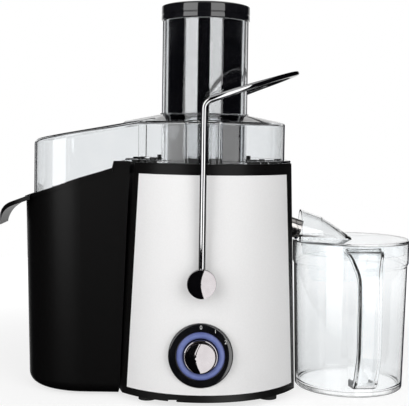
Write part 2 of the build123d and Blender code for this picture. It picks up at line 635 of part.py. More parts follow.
with BuildPart() as pusher_cap:
    r, groove = PUSHER_CAP_R, CHUTE_TOP + 0.36 * CAP_HIGH
    outer = [(0, CHUTE_TOP), (r - 0.6, CHUTE_TOP), (r, CHUTE_TOP + 0.6), (r, groove - 0.6)]
    outer += [(r - 0.7, groove), (r, groove + 0.6), (r, CAP_TOP - 2)]
    outer += [(r - 1.2, CAP_TOP - 0.4), (r - 3.5, CAP_TOP + 0.6)]
    outer += [(r - 14, CAP_TOP + 2.4), (r - 28, CAP_TOP + 3.3), (0, CAP_TOP + 3.5)]
    add(turned(outer))
save(pusher_cap, "pusher_cap")

# Locking arm: bushes and pins in the body, rod loop with pivot eyes and caps
with BuildPart() as arm_bushes:
    for side in (-1, 1):
        add(pivot_bar(side, BEZEL_BACK, BUSH_OUT, BUSH_R))
        add(pivot_bar(side, INWARD, BEYOND, PIN_R), mode=Mode.SUBTRACT)
save(arm_bushes, "arm_bushes")

with BuildPart() as arm_pivot_pins:
    for side in (-1, 1):
        add(pivot_bar(side, BEZEL_BACK - 4, EYE_OUT - 0.5, PIN_R))
        add(pivot_bar(side, BEZEL_BACK - 4, BEZEL_BACK, PIN_R + 2))
save(arm_pivot_pins, "arm_pivot_pins")

rise = radians(LOOP_RISE)
loop_plane = Plane((0, 0, BEND_Z), x_dir=(cos(rise), 0, sin(rise)), z_dir=(-sin(rise), 0, cos(rise)))
turn = BEND_R * tan(radians(90 - LOOP_RISE) / 2)
with BuildPart() as locking_arm:
    for side in (-1, 1):
        y = side * ARM_Y
        corner = Vector(0, y, BEND_Z)
        leg_end = corner - Vector(0, 0, turn)
        run_start = corner + loop_plane.x_dir * turn
        with BuildLine() as leg:
            Line((0, y, PIVOT_Z), leg_end)
            TangentArc(leg_end, run_start, tangent=(0, 0, 1))
        with BuildSketch(Plane((0, y, PIVOT_Z), z_dir=(0, 0, 1))):
            Circle(ROD_R)
        sweep(path=leg.wires()[0])
    with BuildLine(loop_plane) as loop:
        EllipticalCenterArc((turn, 0), LOOP_REACH - turn, ARM_Y, start_angle=-90, arc_size=180)
    for low, high in ((0, 0.17), (0.83, 1)):
        piece = loop.edges()[0].trim(low, high)
        with BuildSketch(Plane(piece @ 0, z_dir=piece % 0)):
            Circle(ROD_R)
        sweep(path=piece)
    strap = loop.edges()[0].trim(0.15, 0.85)
    with BuildSketch(Plane(strap @ 0, x_dir=loop_plane.z_dir, z_dir=strap % 0)):
        RectangleRounded(STRAP_THICK, STRAP_WIDE, 1.9)
    sweep(path=strap)
    for side in (-1, 1):
        add(pivot_bar(side, BUSH_OUT + 0.8, EYE_OUT, PIN_R + 5))
        add(pivot_bar(side, INWARD, BEYOND, PIN_R + RUN), mode=Mode.SUBTRACT)
save(locking_arm, "locking_arm")

with BuildPart() as arm_pivot_caps:
    dome = [(0, 0), (CAP_R, 0), (CAP_R, 2.1), (CAP_R - 0.8, 3.1)]
    dome += [(CAP_R - 3.8, 4.2), (CAP_R - 7.8, 5.1), (0, 5.5)]
    for side in (-1, 1):
        with BuildSketch(Plane((0, 0, PIVOT_Z), x_dir=(1, 0, 0), z_dir=(0, 0, 1))):
            with BuildLine():
                Polyline(*[(a, side * (EYE_OUT + b)) for a, b in dome], close=True)
            make_face()
        revolve(axis=Axis((0, 0, PIVOT_Z), (0, 1, 0)))
save(arm_pivot_caps, "arm_pivot_caps")


# Pulp bin with its rim bead, hooked ears and drooping grip
def bin_block(low, high, inset):
    with BuildPart() as shape:
        for z in (low, high):
            share = (z - BIN_LOW) / (BIN_HIGH - BIN_LOW)
            left = BIN_LEFT[0] + (BIN_LEFT[1] - BIN_LEFT[0]) * share + inset
            half = BIN_HALF[0] + (BIN_HALF[1] - BIN_HALF[0]) * share - inset
            with BuildSketch(Plane.XY.offset(z)) as outline:
                with BuildLine():
                    Polyline((left, -half), (BACK + 39, -half), (BACK + 39, half), (left, half), close=True)
                make_face()
                fillet(outline.vertices().group_by(Axis.X)[0], BIN_CORNER - inset)
        loft(ruled=True)
    return shape.part


def above_rim(lift):
    far, near, inner, level = BIN_LEFT[1] - 57, BACK - 3, BACK + 39, RIM_TOP + 1 + lift
    line = [(far, rim_z(far) + lift), (near, rim_z(near) + lift), (near + 1.5, level), (inner, level)]
    return side_slab(line + [(inner, level + 85), (far, level + 85)], -BIN_HALF[1] - 25, BIN_HALF[1] + 25)


with BuildPart() as grip:
    crown = [(10, -32.6), (2.5, -35), (-4, -37.4), (-10.4, -39.8), (-15.7, -43), (-20.2, -47.6)]
    crown += [(-23.4, -53), (-25.2, -62.5)]
    under = [(-22.2, -62.5), (-20.2, -54.5), (-17.2, -49.6), (-12.6, -45.6), (-7, -42.6), (-1, -40.4)]
    under += [(4, -38.6), (10, -36.6)]
    crown, under = [[(BIN_LEFT[1] + x, RIM_TOP + z) for x, z in edge] for edge in (crown, under)]
    with BuildSketch(Plane((0, -GRIP_HALF, 0), x_dir=(1, 0, 0), z_dir=(0, -1, 0))):
        with BuildLine():
            Spline(*crown)
            Line(crown[-1], under[0])
            Spline(*under)
            Line(under[-1], crown[0])
        make_face()
    extrude(amount=-2 * GRIP_HALF)
    with BuildSketch(Plane.XY.offset(RIM_TOP - 114.5)):
        with Locations((BIN_LEFT[1] + 11.5, 0)):
            Ellipse(37, GRIP_HALF)
    extrude(amount=120, mode=Mode.INTERSECT)

with BuildPart() as bead:
    add(bin_block(BIN_LOW, BIN_HIGH, -1.4))
    add(above_rim(0), mode=Mode.SUBTRACT)
    add(above_rim(-4), mode=Mode.INTERSECT)

with BuildPart() as bin_inside:
    add(bin_block(BIN_LOW + 2.5, BIN_HIGH, BIN_WALL))
    fillet(bin_inside.edges().group_by(Axis.Z)[0], 8)
    gaps = [-gap - BIN_WALL for gap in BIN_GAP]
    add(body_slab(-10, BIN_HIGH + 18, gaps[0], gaps[1]), mode=Mode.SUBTRACT)

with BuildPart() as pulp_bin:
    add(bin_block(BIN_LOW, BIN_HIGH, 0))
    fillet(pulp_bin.edges().group_by(Axis.Z)[0], 10)
    add(bead.part)
    add(grip.part)
    add(above_rim(0), mode=Mode.SUBTRACT)
    add(bin_inside.part, mode=Mode.SUBTRACT)
    for side in (-1, 1):
        ear = sorted((side * (LUG_Y[1] + 1.6), side * (LUG_Y[1] + 6.4)))
        add(block((TRUNNION[0] - 7, TRUNNION[0] + 6), ear, (TRUNNION[1] - 7, TRUNNION[1] + 6)))
    add(body_slab(-10, BIN_HIGH + 18, -BIN_GAP[0], -BIN_GAP[1]), mode=Mode.SUBTRACT)
    mouth = (-LUG_Y[1] - 1, LUG_Y[1] + 1)
    add(block((BACK - 21, BACK + 39), mouth, (WALL_TOP, BIN_HIGH + 18)), mode=Mode.SUBTRACT)
    for side in (-1, 1):
        depth = LUG_Y[1] + 5.4
        ends = [(TRUNNION[0], side * y, TRUNNION[1]) for y in (LUG_Y[1], depth)]
        add(round_bar(ends[0], ends[1], TRUNNION_R + RUN), mode=Mode.SUBTRACT)
        slot = sorted((side * LUG_Y[1], side * depth))
        width = (TRUNNION[0] - TRUNNION_R - RUN, TRUNNION[0] + TRUNNION_R + RUN)
        add(block(width, slot, (TRUNNION[1] - 11, TRUNNION[1])), mode=Mode.SUBTRACT)
save(pulp_bin, "pulp_bin")

# Clear juice jug with its bowed channel handle
bottom_r, rim_r = JUG_R


def jug_r(z):
    return bottom_r + (rim_r - bottom_r) * z / JUG_TOP


def at_jug(shape):
    return Pos(JUG_X, 0, 0) * shape


def bow(points, half):
    """A handle outline of Y and Z, rounded at its outer corners, over the handle's width."""
    with BuildPart() as shape:
        with BuildSketch(Plane((-half, 0, 0), x_dir=(0, 1, 0), z_dir=(1, 0, 0))) as face:
            with BuildLine():
                Polyline(*points, close=True)
            make_face()
            fillet(face.vertices().sort_by(Axis.X)[:4], 11)
        extrude(amount=2 * half)
    return at_jug(Rot(0, 0, HANDLE_TURN) * shape.part)


def handle_bow(inset):
    """Handle outline of Y and Z from the jug wall, moved inwards by inset."""
    out, low, high = rim_r + 35.7 - inset, 9.0 + inset, JUG_TOP - 3.0 - inset
    points = [(rim_r - 10.8, high), (out - 11.5, high - 3), (out, high - 31), (out, low + 31)]
    points += [(out - 12.5, low + 7), (rim_r - 10.8, low)]
    return [(-y, z) for y, z in points]


with BuildPart() as juice_jug:
    add(bow(handle_bow(0), HANDLE_HALF))
    add(bow(handle_bow(8), HANDLE_HALF), mode=Mode.SUBTRACT)
    add(bow(handle_bow(JUG_WALL), HANDLE_HALF - JUG_WALL), mode=Mode.SUBTRACT)
    step, ledge = COLLAR_Z
    shell = [(0, 0), (bottom_r - 2.5, 0), (bottom_r, 2.5), (jug_r(step), step)]
    shell += [(jug_r(ledge) + COLLAR, ledge)]
    add(at_jug(turned(shell + [(jug_r(JUG_TOP) + COLLAR, JUG_TOP), (0, JUG_TOP)])))
    room = [(0, JUG_FLOOR), (jug_r(0) - JUG_WALL - 3, JUG_FLOOR), (jug_r(7) - JUG_WALL, 7)]
    room += [(jug_r(step) - JUG_WALL, step), (jug_r(ledge) - JUG_WALL + COLLAR, ledge)]
    room += [(jug_r(JUG_TOP) - JUG_WALL + COLLAR, JUG_TOP), (0, JUG_TOP)]
    add(at_jug(turned(room)), mode=Mode.SUBTRACT)
save(juice_jug, "juice_jug")


# Clear jug lid with the arched spout cover and the foam plate
def arch(x, half, high, low):
    with BuildSketch(Plane((x, 0, 0), x_dir=(0, 1, 0), z_dir=(1, 0, 0))) as face:
        with BuildLine():
            Line((-half, low), (-half, PLATE_TOP))
            ThreePointArc((-half, PLATE_TOP), (0, PLATE_TOP + high), (half, PLATE_TOP))
            Line((half, PLATE_TOP), (half, low))
            Line((half, low), (-half, low))
        make_face()
    return face.sketch.faces()[0]


ARCH = ((JUG_X - 49, 24.4, 27), (JUG_X - 29, 20.5, 20), (JUG_X - 1, 13, 2))
ARCH_ROOM = ((JUG_X - 50, 22.8, 25.4), (JUG_X - 29.8, 18.9, 18.4), (JUG_X - 4, 11, 1))
plug_r = jug_r(COLLAR_Z[1]) - JUG_WALL + COLLAR - FREE
with BuildPart() as jug_lid:
    plug = JUG_TOP - 11
    plate = [(0, JUG_TOP), (plug_r - 1.8, JUG_TOP), (plug_r - 1.8, plug), (plug_r, plug), (plug_r, JUG_TOP)]
    plate += [(jug_r(JUG_TOP) + COLLAR, JUG_TOP), (jug_r(JUG_TOP) + COLLAR, PLATE_TOP), (0, PLATE_TOP)]
    add(at_jug(turned(plate)))
    loft([arch(*ARCH[i], PLATE_TOP - 1) for i in range(3)], ruled=True)
    add(block((JUG_X - 38, JUG_X + 38), (24.2, 25.8), (JUG_TOP - 44, JUG_TOP + 1)))
    fillet(jug_lid.edges().filter_by(Axis.Y).group_by(Axis.Z)[0], 8)
    under = JUG_TOP - 28
    loft([arch(*ARCH_ROOM[i], under) for i in range(3)], ruled=True, mode=Mode.SUBTRACT)
    notch = (-NOTCH_HALF, NOTCH_HALF)
    add(block((JUG_X - 63, JUG_X - 47), notch, (COLLAR_Z[1], PLATE_TOP + 0.5)), mode=Mode.SUBTRACT)
save(jug_lid, "jug_lid")
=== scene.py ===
from math import cos, pi, radians, sin, sqrt, tan

import bmesh
import bpy
from mathutils import Matrix, Vector


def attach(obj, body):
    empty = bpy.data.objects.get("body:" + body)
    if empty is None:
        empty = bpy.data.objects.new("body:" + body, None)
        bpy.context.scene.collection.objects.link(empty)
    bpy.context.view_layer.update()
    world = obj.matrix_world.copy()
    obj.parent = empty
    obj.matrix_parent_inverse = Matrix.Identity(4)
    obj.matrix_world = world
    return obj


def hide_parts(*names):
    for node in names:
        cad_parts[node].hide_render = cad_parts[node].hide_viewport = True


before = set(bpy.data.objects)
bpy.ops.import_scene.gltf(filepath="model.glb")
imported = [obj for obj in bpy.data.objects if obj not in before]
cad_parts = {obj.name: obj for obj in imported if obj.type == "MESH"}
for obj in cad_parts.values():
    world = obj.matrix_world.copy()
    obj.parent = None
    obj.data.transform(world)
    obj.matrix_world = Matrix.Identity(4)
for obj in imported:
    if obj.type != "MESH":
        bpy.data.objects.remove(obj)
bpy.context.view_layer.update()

# Base tray: the shallow black tray that closes the motor room from below, moulded in ABS with a fine
# matt grain, held by four screws and standing on four rubber feet.
BLACK_TONES = ((0.0028, 0.0026, 0.0026), (0.0050, 0.0047, 0.0047))


def finish_of(name, colour, rough, metal=0.0):
    """A surface finish with its shader, ready for its detail."""
    mat = bpy.data.materials.new(name)
    mat.use_nodes = True
    shader = mat.node_tree.nodes["Principled BSDF"]
    shader.inputs["Base Color"].default_value = (*colour, 1)
    shader.inputs["Roughness"].default_value = rough
    shader.inputs["Metallic"].default_value = metal
    return mat, shader


def add_grain(mat, shader, tones, shine, grain, depth, stretch=(1, 1, 1)):
    """Grain from one noise: two tones, a range of roughness and a shallow bump depth in metres."""
    nodes, links = mat.node_tree.nodes, mat.node_tree.links
    place = nodes.new("ShaderNodeTexCoord")
    spread = nodes.new("ShaderNodeMapping")
    spread.inputs["Scale"].default_value = [grain * share for share in stretch]
    noise = nodes.new("ShaderNodeTexNoise")
    noise.inputs["Scale"].default_value = 1.0
    noise.inputs["Detail"].default_value = 3.0
    tone = nodes.new("ShaderNodeValToRGB")
    for stop, colour, spot in zip(tone.color_ramp.elements, tones, (0.35, 0.65)):
        stop.color = (*colour, 1)
        stop.position = spot
    gloss = nodes.new("ShaderNodeMapRange")
    gloss.inputs["From Min"].default_value = 0.3
    gloss.inputs["From Max"].default_value = 0.7
    gloss.inputs["To Min"].default_value = shine[0]
    gloss.inputs["To Max"].default_value = shine[1]
    bump = nodes.new("ShaderNodeBump")
    bump.inputs["Strength"].default_value = 1.0
    bump.inputs["Distance"].default_value = depth
    links.new(place.outputs["Object"], spread.inputs["Vector"])
    links.new(spread.outputs["Vector"], noise.inputs["Vector"])
    links.new(noise.outputs["Fac"], tone.inputs["Fac"])
    links.new(noise.outputs["Fac"], gloss.inputs["Value"])
    links.new(noise.outputs["Fac"], bump.inputs["Height"])
    links.new(tone.outputs["Color"], shader.inputs["Base Color"])
    links.new(gloss.outputs["Result"], shader.inputs["Roughness"])
    links.new(bump.outputs["Normal"], shader.inputs["Normal"])


def dress(mat, *names):
    """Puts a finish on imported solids."""
    for name in names:
        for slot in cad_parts[name].material_slots:
            slot.material = mat


matt_black, shader = finish_of("matt_black_tray", BLACK_TONES[0], 0.42)
add_grain(matt_black, shader, BLACK_TONES, (0.38, 0.48), 1800, 0.00002)
shader.inputs["Specular IOR Level"].default_value = 0.25
dress(matt_black, "base_plate")

# Rubber pieces: the four feet, the motor's dampers, the shaft seal and the cord gland, all moulded in
# black rubber and pressed into their seats.
RUBBER_TONES = ((0.012, 0.012, 0.012), (0.022, 0.022, 0.021))
foot_rubber, shader = finish_of("foot_rubber", (0.016, 0.016, 0.016), 0.75)
add_grain(foot_rubber, shader, RUBBER_TONES, (0.68, 0.82), 900, 0.00005)
dress(foot_rubber, "rubber_feet", "motor_dampers", "shaft_seal", "cord_inlet")

# Screws: zinc plated steel with rolled threads. Four hold the tray to the posts of the shell, and
# long ones draw the motor's two brackets together.
ZINC_TONES = ((0.46, 0.46, 0.47), (0.62, 0.62, 0.63))
screw_zinc, shader = finish_of("screw_zinc", (0.55, 0.55, 0.56), 0.34, 1.0)
add_grain(screw_zinc, shader, ZINC_TONES, (0.26, 0.42), 1200, 0.00001)
dress(screw_zinc, "base_screws", "motor_screws")

# Stator and armature: packs of stamped steel core plates, pressed together. The stator is held
# between the motor's brackets, and the armature is pressed on the shaft.
CORE_TONES = ((0.15, 0.15, 0.16), (0.28, 0.28, 0.29))
core_plates, shader = finish_of("core_plates", (0.22, 0.22, 0.23), 0.45, 1.0)
add_grain(core_plates, shader, CORE_TONES, (0.38, 0.52), 60, 0.0001, (1, 1, 34))
dress(core_plates, "motor_stator", "armature")

# Windings and commutator: enamelled copper wire wound on the core plates, its ends soldered to the
# copper bars that the brushes run on.
COPPER_TONES = ((0.34, 0.10, 0.03), (0.58, 0.22, 0.08))
enamel_copper, shader = finish_of("enamel_copper", (0.48, 0.17, 0.06), 0.3, 0.85)
add_grain(enamel_copper, shader, COPPER_TONES, (0.22, 0.36), 90, 0.0003, (1, 14, 14))
dress(enamel_copper, "field_coils", "armature_windings", "commutator")

# Motor brackets: light alloy castings above and below the stator, left as cast. They hold the
# bearings and hang from the deck on the dampers.
CAST_TONES = ((0.40, 0.40, 0.41), (0.54, 0.54, 0.55))
cast_bracket, shader = finish_of("cast_bracket", (0.48, 0.48, 0.49), 0.5, 1.0)
add_grain(cast_bracket, shader, CAST_TONES, (0.42, 0.58), 500, 0.00008)
dress(cast_bracket, "upper_motor_bracket", "lower_motor_bracket")

# Shaft, bearings and arm pins: turned and ground steel. The shaft runs in two bearings pressed into
# the brackets; the arm's pins are pressed into their bushes.
SHAFT_TONES = ((0.52, 0.52, 0.54), (0.64, 0.64, 0.66))
shaft_steel, shader = finish_of("shaft_steel", (0.58, 0.58, 0.60), 0.2, 1.0)
add_grain(shaft_steel, shader, SHAFT_TONES, (0.14, 0.24), 120, 0.000005, (1, 1, 12))
dress(shaft_steel, "motor_shaft", "upper_bearing", "lower_bearing", "arm_pivot_pins")

# Brush holders: folded brass boxes, one on each side of the commutator. They guide the brushes and
# carry the current to them.
BRASS_TONES = ((0.52, 0.35, 0.12), (0.68, 0.48, 0.19))
brush_brass, shader = finish_of("brush_brass", (0.62, 0.43, 0.16), 0.32, 1.0)
add_grain(brush_brass, shader, BRASS_TONES, (0.26, 0.40), 400, 0.00002)
dress(brush_brass, "brush_holders")

# Carbon brushes: small blocks pressed from carbon powder. Each slides in its brass box and rubs on
# the commutator.
CARBON_TONES = ((0.014, 0.014, 0.015), (0.03, 0.03, 0.03))
brush_carbon, shader = finish_of("brush_carbon", (0.02, 0.02, 0.021), 0.6)
add_grain(brush_carbon, shader, CARBON_TONES, (0.5, 0.7), 1500, 0.00003)
dress(brush_carbon, "carbon_brushes")

# Inner mouldings: the deck over the motor, its fan and coupling, the switches with their spindle, the
# basket's hub and the arm's bushes, all moulded in black nylon and pressed or clipped in place.
NYLON_TONES = ((0.024, 0.024, 0.025), (0.036, 0.036, 0.037))
inner_moulding, shader = finish_of("inner_moulding", (0.030, 0.030, 0.031), 0.5)
add_grain(inner_moulding, shader, NYLON_TONES, (0.44, 0.56), 1400, 0.00003)
dress(inner_moulding, "motor_deck", "cooling_fan", "drive_coupling", "rotary_switch", "interlock_switch")
dress(inner_moulding, "basket_hub", "arm_bushes", "switch_spindle")

# Circuit boards: glass-fibre boards under a green mask, one for the motor and one with the lamps
# behind the lit ring. Both are fixed inside the shell.
MASK_TONES = ((0.015, 0.08, 0.035), (0.03, 0.14, 0.06))
board_green, shader = finish_of("board_green", (0.02, 0.11, 0.05), 0.38)
add_grain(board_green, shader, MASK_TONES, (0.3, 0.46), 350, 0.00002)
dress(board_green, "control_board", "lamp_board")

# Housing and rim: one black ABS shell with a tapered round front, and the rim ring on top of it that
# carries the bowl. Both are moulded with a satin skin, and the rim is pressed on.
satin_black, shader = finish_of("satin_black_shell", BLACK_TONES[0], 0.3)
add_grain(satin_black, shader, BLACK_TONES, (0.26, 0.34), 1600, 0.000012)
shader.inputs["Specular IOR Level"].default_value = 0.1
dress(satin_black, "housing", "top_rim")

# Front panel: a thin white sheet, bent to the round front of the shell and let into it flush. It is
# lacquered to a soft gloss.
PANEL_TONES = ((0.76, 0.755, 0.755), (0.78, 0.775, 0.775))
panel_white, shader = finish_of("panel_white", (0.77, 0.765, 0.765), 0.42)
add_grain(panel_white, shader, PANEL_TONES, (0.40, 0.46), 700, 0.000006)
shader.inputs["Specular IOR Level"].default_value = 0.2
dress(panel_white, "front_panel")

# Bezel: a gloss black ring with a sloped face and a seat for the lit ring, moulded in ABS and pressed
# into the front of the shell.
DIAL_Z = 47.4
BEZEL_R = 28.5
BEZEL_BACK = 84.0
FACE_EDGE_R = 21.6
FACE_HIGH = 97.4
FACE_FALL = 0.07
SEAT_R = (15.6, 21.2)
SEAT_BACK = 90.0
HUB_R = 15.3
HUB_HIGH = 96.0
SPINDLE_HOLE_R = 3.4
GLOSS_TONES = ((0.003, 0.003, 0.004), (0.006, 0.006, 0.007))


def solid_from(name, points, faces, crease=30):
    """A closed piece from points in millimetres, smooth but for edges sharper than crease."""
    mesh = bpy.data.meshes.new(name)
    mesh.from_pydata([(x / 1000, y / 1000, z / 1000) for x, y, z in points], [], faces)
    shape = bmesh.new()
    shape.from_mesh(mesh)
    bmesh.ops.remove_doubles(shape, verts=shape.verts, dist=1e-6)
    bmesh.ops.dissolve_degenerate(shape, edges=shape.edges, dist=1e-7)
    bmesh.ops.recalc_face_normals(shape, faces=shape.faces)
    shape.to_mesh(mesh)
    shape.free()
    mesh.shade_smooth()
    mesh.set_sharp_from_angle(angle=radians(crease))
    piece = bpy.data.objects.new(name, mesh)
    bpy.context.scene.collection.objects.link(piece)
    return piece


def eased(corners, steps=5):
    """A closed outline of (a, b, radius) corners with each corner rounded."""
    outline = []
    for i, (a, b, r) in enumerate(corners):
        spot = Vector((a, b))
        if r <= 0:
            outline.append((a, b))
            continue
        before = (Vector(corners[i - 1][:2]) - spot).normalized()
        after = (Vector(corners[(i + 1) % len(corners)][:2]) - spot).normalized()
        half = before.angle(after) / 2
        run = r / tan(half)
        centre = spot + (before + after).normalized() * (r / sin(half))
        first, last = spot + before * run - centre, spot + after * run - centre
        sweep = first.angle_signed(last)
        for k in range(steps + 1):
            turn = -sweep * k / steps
            outline.append((
                centre.x + first.x * cos(turn) - first.y * sin(turn),
                centre.y + first.x * sin(turn) + first.y * cos(turn),
            ))
    return outline


def turned(name, outline, centre=(0, 0, 0), front=False, steps=144, crease=30):
    """A closed outline of (radius, height) turned about an upright axis, or one that faces the user."""
    points, faces = [], []
    count = len(outline)
    for i in range(steps):
        angle = 2 * pi * i / steps
        for r, h in outline:
            across, along = r * cos(angle), r * sin(angle)
            spot = (across, -h, along) if front else (across, along, h)
            points.append([a + b for a, b in zip(spot, centre)])
        row, after = i * count, (i + 1) % steps * count
        for k in range(count):
            j = (k + 1) % count
            faces.append((row + k, row + j, after + j, after + k))
    return solid_from(name, points, faces, crease)


def bezel_face(r):
    """Height of the bezel's sloped face, towards the user, at a radius."""
    return FACE_HIGH - (r - FACE_EDGE_R) * FACE_FALL


def new_piece(piece, body, slot, mat, *nodes):
    """Hangs a finished piece on its body in place of its plain solids."""
    piece.data.materials.append(mat)
    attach(piece, body)
    if nodes:
        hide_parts(*nodes)
    return piece


gloss_black, shader = finish_of("gloss_black", (0.004, 0.004, 0.005), 0.05)
add_grain(gloss_black, shader, GLOSS_TONES, (0.03, 0.07), 60, 0.000002)
shader.inputs["Specular IOR Level"].default_value = 0.8
bezel_edge = [
    (SPINDLE_HOLE_R, BEZEL_BACK, 0), (BEZEL_R, BEZEL_BACK, 0.3), (BEZEL_R, bezel_face(BEZEL_R), 1.6),
    (FACE_EDGE_R, FACE_HIGH, 0.4), (SEAT_R[1], 97, 0), (SEAT_R[1], SEAT_BACK, 0),
    (SEAT_R[0], SEAT_BACK, 0), (SEAT_R[0], FACE_HIGH, 0), (HUB_R, FACE_HIGH, 0),
    (HUB_R, HUB_HIGH, 0), (SPINDLE_HOLE_R, HUB_HIGH, 0),
]
bezel = turned("bezel", eased(bezel_edge), (0, 0, DIAL_Z), front=True)
new_piece(bezel, "base", "gloss_black", gloss_black, "dial_bezel")

# Lit ring: a frosted clear ring over the blue lamps of its board, moulded and pressed into the
# bezel's seat. It glows most along its middle.
RING_R = (15.7, 21.1)
RING_BACK = 91.6
ring_blue, shader = finish_of("ring_blue", (0.05, 0.06, 0.16), 0.35)
add_grain(ring_blue, shader, ((0.04, 0.05, 0.14), (0.06, 0.075, 0.19)), (0.3, 0.4), 300, 0.00002)
nodes, links = ring_blue.node_tree.nodes, ring_blue.node_tree.links
spot = nodes.new("ShaderNodeTexCoord")
flat = nodes.new("ShaderNodeVectorMath")
flat.operation = "MULTIPLY_ADD"
flat.inputs[1].default_value = (1, 0, 1)
flat.inputs[2].default_value = (0, 0, -DIAL_Z / 1000)
reach = nodes.new("ShaderNodeVectorMath")
reach.operation = "LENGTH"
across = nodes.new("ShaderNodeMapRange")
across.inputs["From Min"].default_value = SEAT_R[0] / 1000
across.inputs["From Max"].default_value = SEAT_R[1] / 1000
lit = nodes.new("ShaderNodeValToRGB")
lit.color_ramp.elements[0].color = (0.03, 0.035, 0.10, 1)
lit.color_ramp.elements[1].color = (0.035, 0.04, 0.13, 1)
lit.color_ramp.elements.new(0.5).color = (0.17, 0.22, 0.46, 1)
links.new(spot.outputs["Object"], flat.inputs[0])
links.new(flat.outputs["Vector"], reach.inputs[0])
links.new(reach.outputs["Value"], across.inputs["Value"])
links.new(across.outputs["Result"], lit.inputs["Fac"])
links.new(lit.outputs["Color"], shader.inputs["Emission Color"])
shader.inputs["Emission Strength"].default_value = 0.6
ring_edge = [(RING_R[0], RING_BACK, 0), (RING_R[1], RING_BACK, 0), (RING_R[1], 97.6, 1.2)]
ring_edge += [(18.6, 98.2, 0), (RING_R[0], 97.8, 1.0)]
glow_ring = turned("glow_ring", eased(ring_edge), (0, 0, DIAL_Z), front=True)
new_piece(glow_ring, "base", "blue_light", ring_blue, "light_ring")

# Knob: moulded ABS under satin chrome, pushed on the switch spindle. A plain collar stands round a
# top with two sloped faces that serve as its grip.
KNOB_R = 15.0
KNOB_BACK = 96.6
COLLAR_HIGH = 101.4
GRIP_R = 12.7
GRIP_HIGH = 107.2
GRIP_FALL = (0.68, 0.24)
RIDGE_BOW = 4.6


def knob_face(x, v):
    """Height of the knob's face: two slopes that meet in a bowed ridge left of the middle."""
    side = x + RIDGE_BOW * cos(pi * v / 27)
    peak = GRIP_HIGH - 0.5 * (v / 12.6) ** 2
    fall = GRIP_FALL[0] if side < 0 else GRIP_FALL[1]
    return max(COLLAR_HIGH, peak - fall * abs(side))


def knob_mesh():
    """Collar, groove and faced top in one closed skin of rings."""
    rows = [(0.001, KNOB_BACK), (14.6, KNOB_BACK), (KNOB_R, 97), (KNOB_R, 100.6), (14.7, 101.2)]
    rows += [(14.2, COLLAR_HIGH), (13.5, 101.1), (13.2, 100.6), (12.9, 100.6)]
    rows += [(GRIP_R * (1 - k / 14.02), None) for k in range(15)]
    steps, points, faces = 120, [], []
    for r, h in rows:
        for i in range(steps):
            angle = 2 * pi * i / steps
            x, v = r * cos(angle), r * sin(angle)
            points.append((x, -(knob_face(x, v) if h is None else h), DIAL_Z + v))
    for k in range(len(rows) - 1):
        for i in range(steps):
            j = (i + 1) % steps
            faces.append((k * steps + i, k * steps + j, (k + 1) * steps + j, (k + 1) * steps + i))
    faces.append(tuple(range(steps)))
    faces.append(tuple(range((len(rows) - 1) * steps, len(rows) * steps)))
    return solid_from("knob", points, faces, 40)


satin_chrome, shader = finish_of("satin_chrome", (0.27, 0.255, 0.26), 0.08, 1.0)
add_grain(satin_chrome, shader, ((0.26, 0.245, 0.25), (0.28, 0.265, 0.27)), (0.06, 0.1), 150, 0.000001)
new_piece(knob_mesh(), "dial", "chrome", satin_chrome, "dial_knob")

# Dial numbers: off and two speeds, printed in white ink on the bezel's sloped face, one click of the
# switch apart.
MARK_R = 25.1
MARK_SIZE = 4.6
INK_THICK = 0.06
INK_LIFT = 0.05
print_white, shader = finish_of("print_white", (0.6, 0.6, 0.6), 0.5)
add_grain(print_white, shader, ((0.55, 0.55, 0.55), (0.65, 0.65, 0.65)), (0.45, 0.55), 900, 0.000004)
for mark, turn in (("0", 0), ("1", 30), ("2", 60)):
    letters = bpy.data.curves.new("mark", "FONT")
    letters.body = mark
    letters.size = MARK_SIZE
    letters.extrude = INK_THICK
    letters.align_x = letters.align_y = "CENTER"
    stamp = bpy.data.objects.new("mark", letters)
    bpy.context.scene.collection.objects.link(stamp)
    print_mesh = stamp.evaluated_get(bpy.context.evaluated_depsgraph_get()).to_mesh()
    middle = (MARK_R * sin(radians(turn)), MARK_R * cos(radians(turn)))
    points = []
    for spot in print_mesh.vertices:
        x, v = middle[0] + spot.co.x, middle[1] + spot.co.y
        points.append((x, -bezel_face(sqrt(x * x + v * v)) - INK_LIFT - spot.co.z, DIAL_Z + v))
    faces = [tuple(face.vertices) for face in print_mesh.polygons]
    number = solid_from("dial_mark_" + mark, points, faces)
    bpy.data.objects.remove(stamp)
    new_piece(number, "base", "white_panel", print_white)

# Bowl and basket: deep-drawn stainless steel. The bowl hangs from the rim's ledge; the basket's sieve
# is etched with fine holes and welded to its rim and its grater.
BOWL_TONES = ((0.55, 0.55, 0.56), (0.65, 0.65, 0.66))
bowl_steel, shader = finish_of("bowl_steel", (0.60, 0.60, 0.61), 0.24, 1.0)
add_grain(bowl_steel, shader, BOWL_TONES, (0.18, 0.30), 60, 0.000006, (1, 1, 10))
dress(bowl_steel, "juice_bowl", "basket_rim", "grater_disc", "filter_cone")

# Juice spout: a short stainless tube that falls to the right, welded into the bowl's wall. It runs out
# through the side of the shell.
SPOUT_TONES = ((0.37, 0.35, 0.34), (0.43, 0.41, 0.40))
spout_steel, shader = finish_of("spout_steel", (0.40, 0.38, 0.37), 0.14, 1.0)
add_grain(spout_steel, shader, SPOUT_TONES, (0.1, 0.18), 80, 0.000004, (6, 1, 1))
dress(spout_steel, "juice_spout")

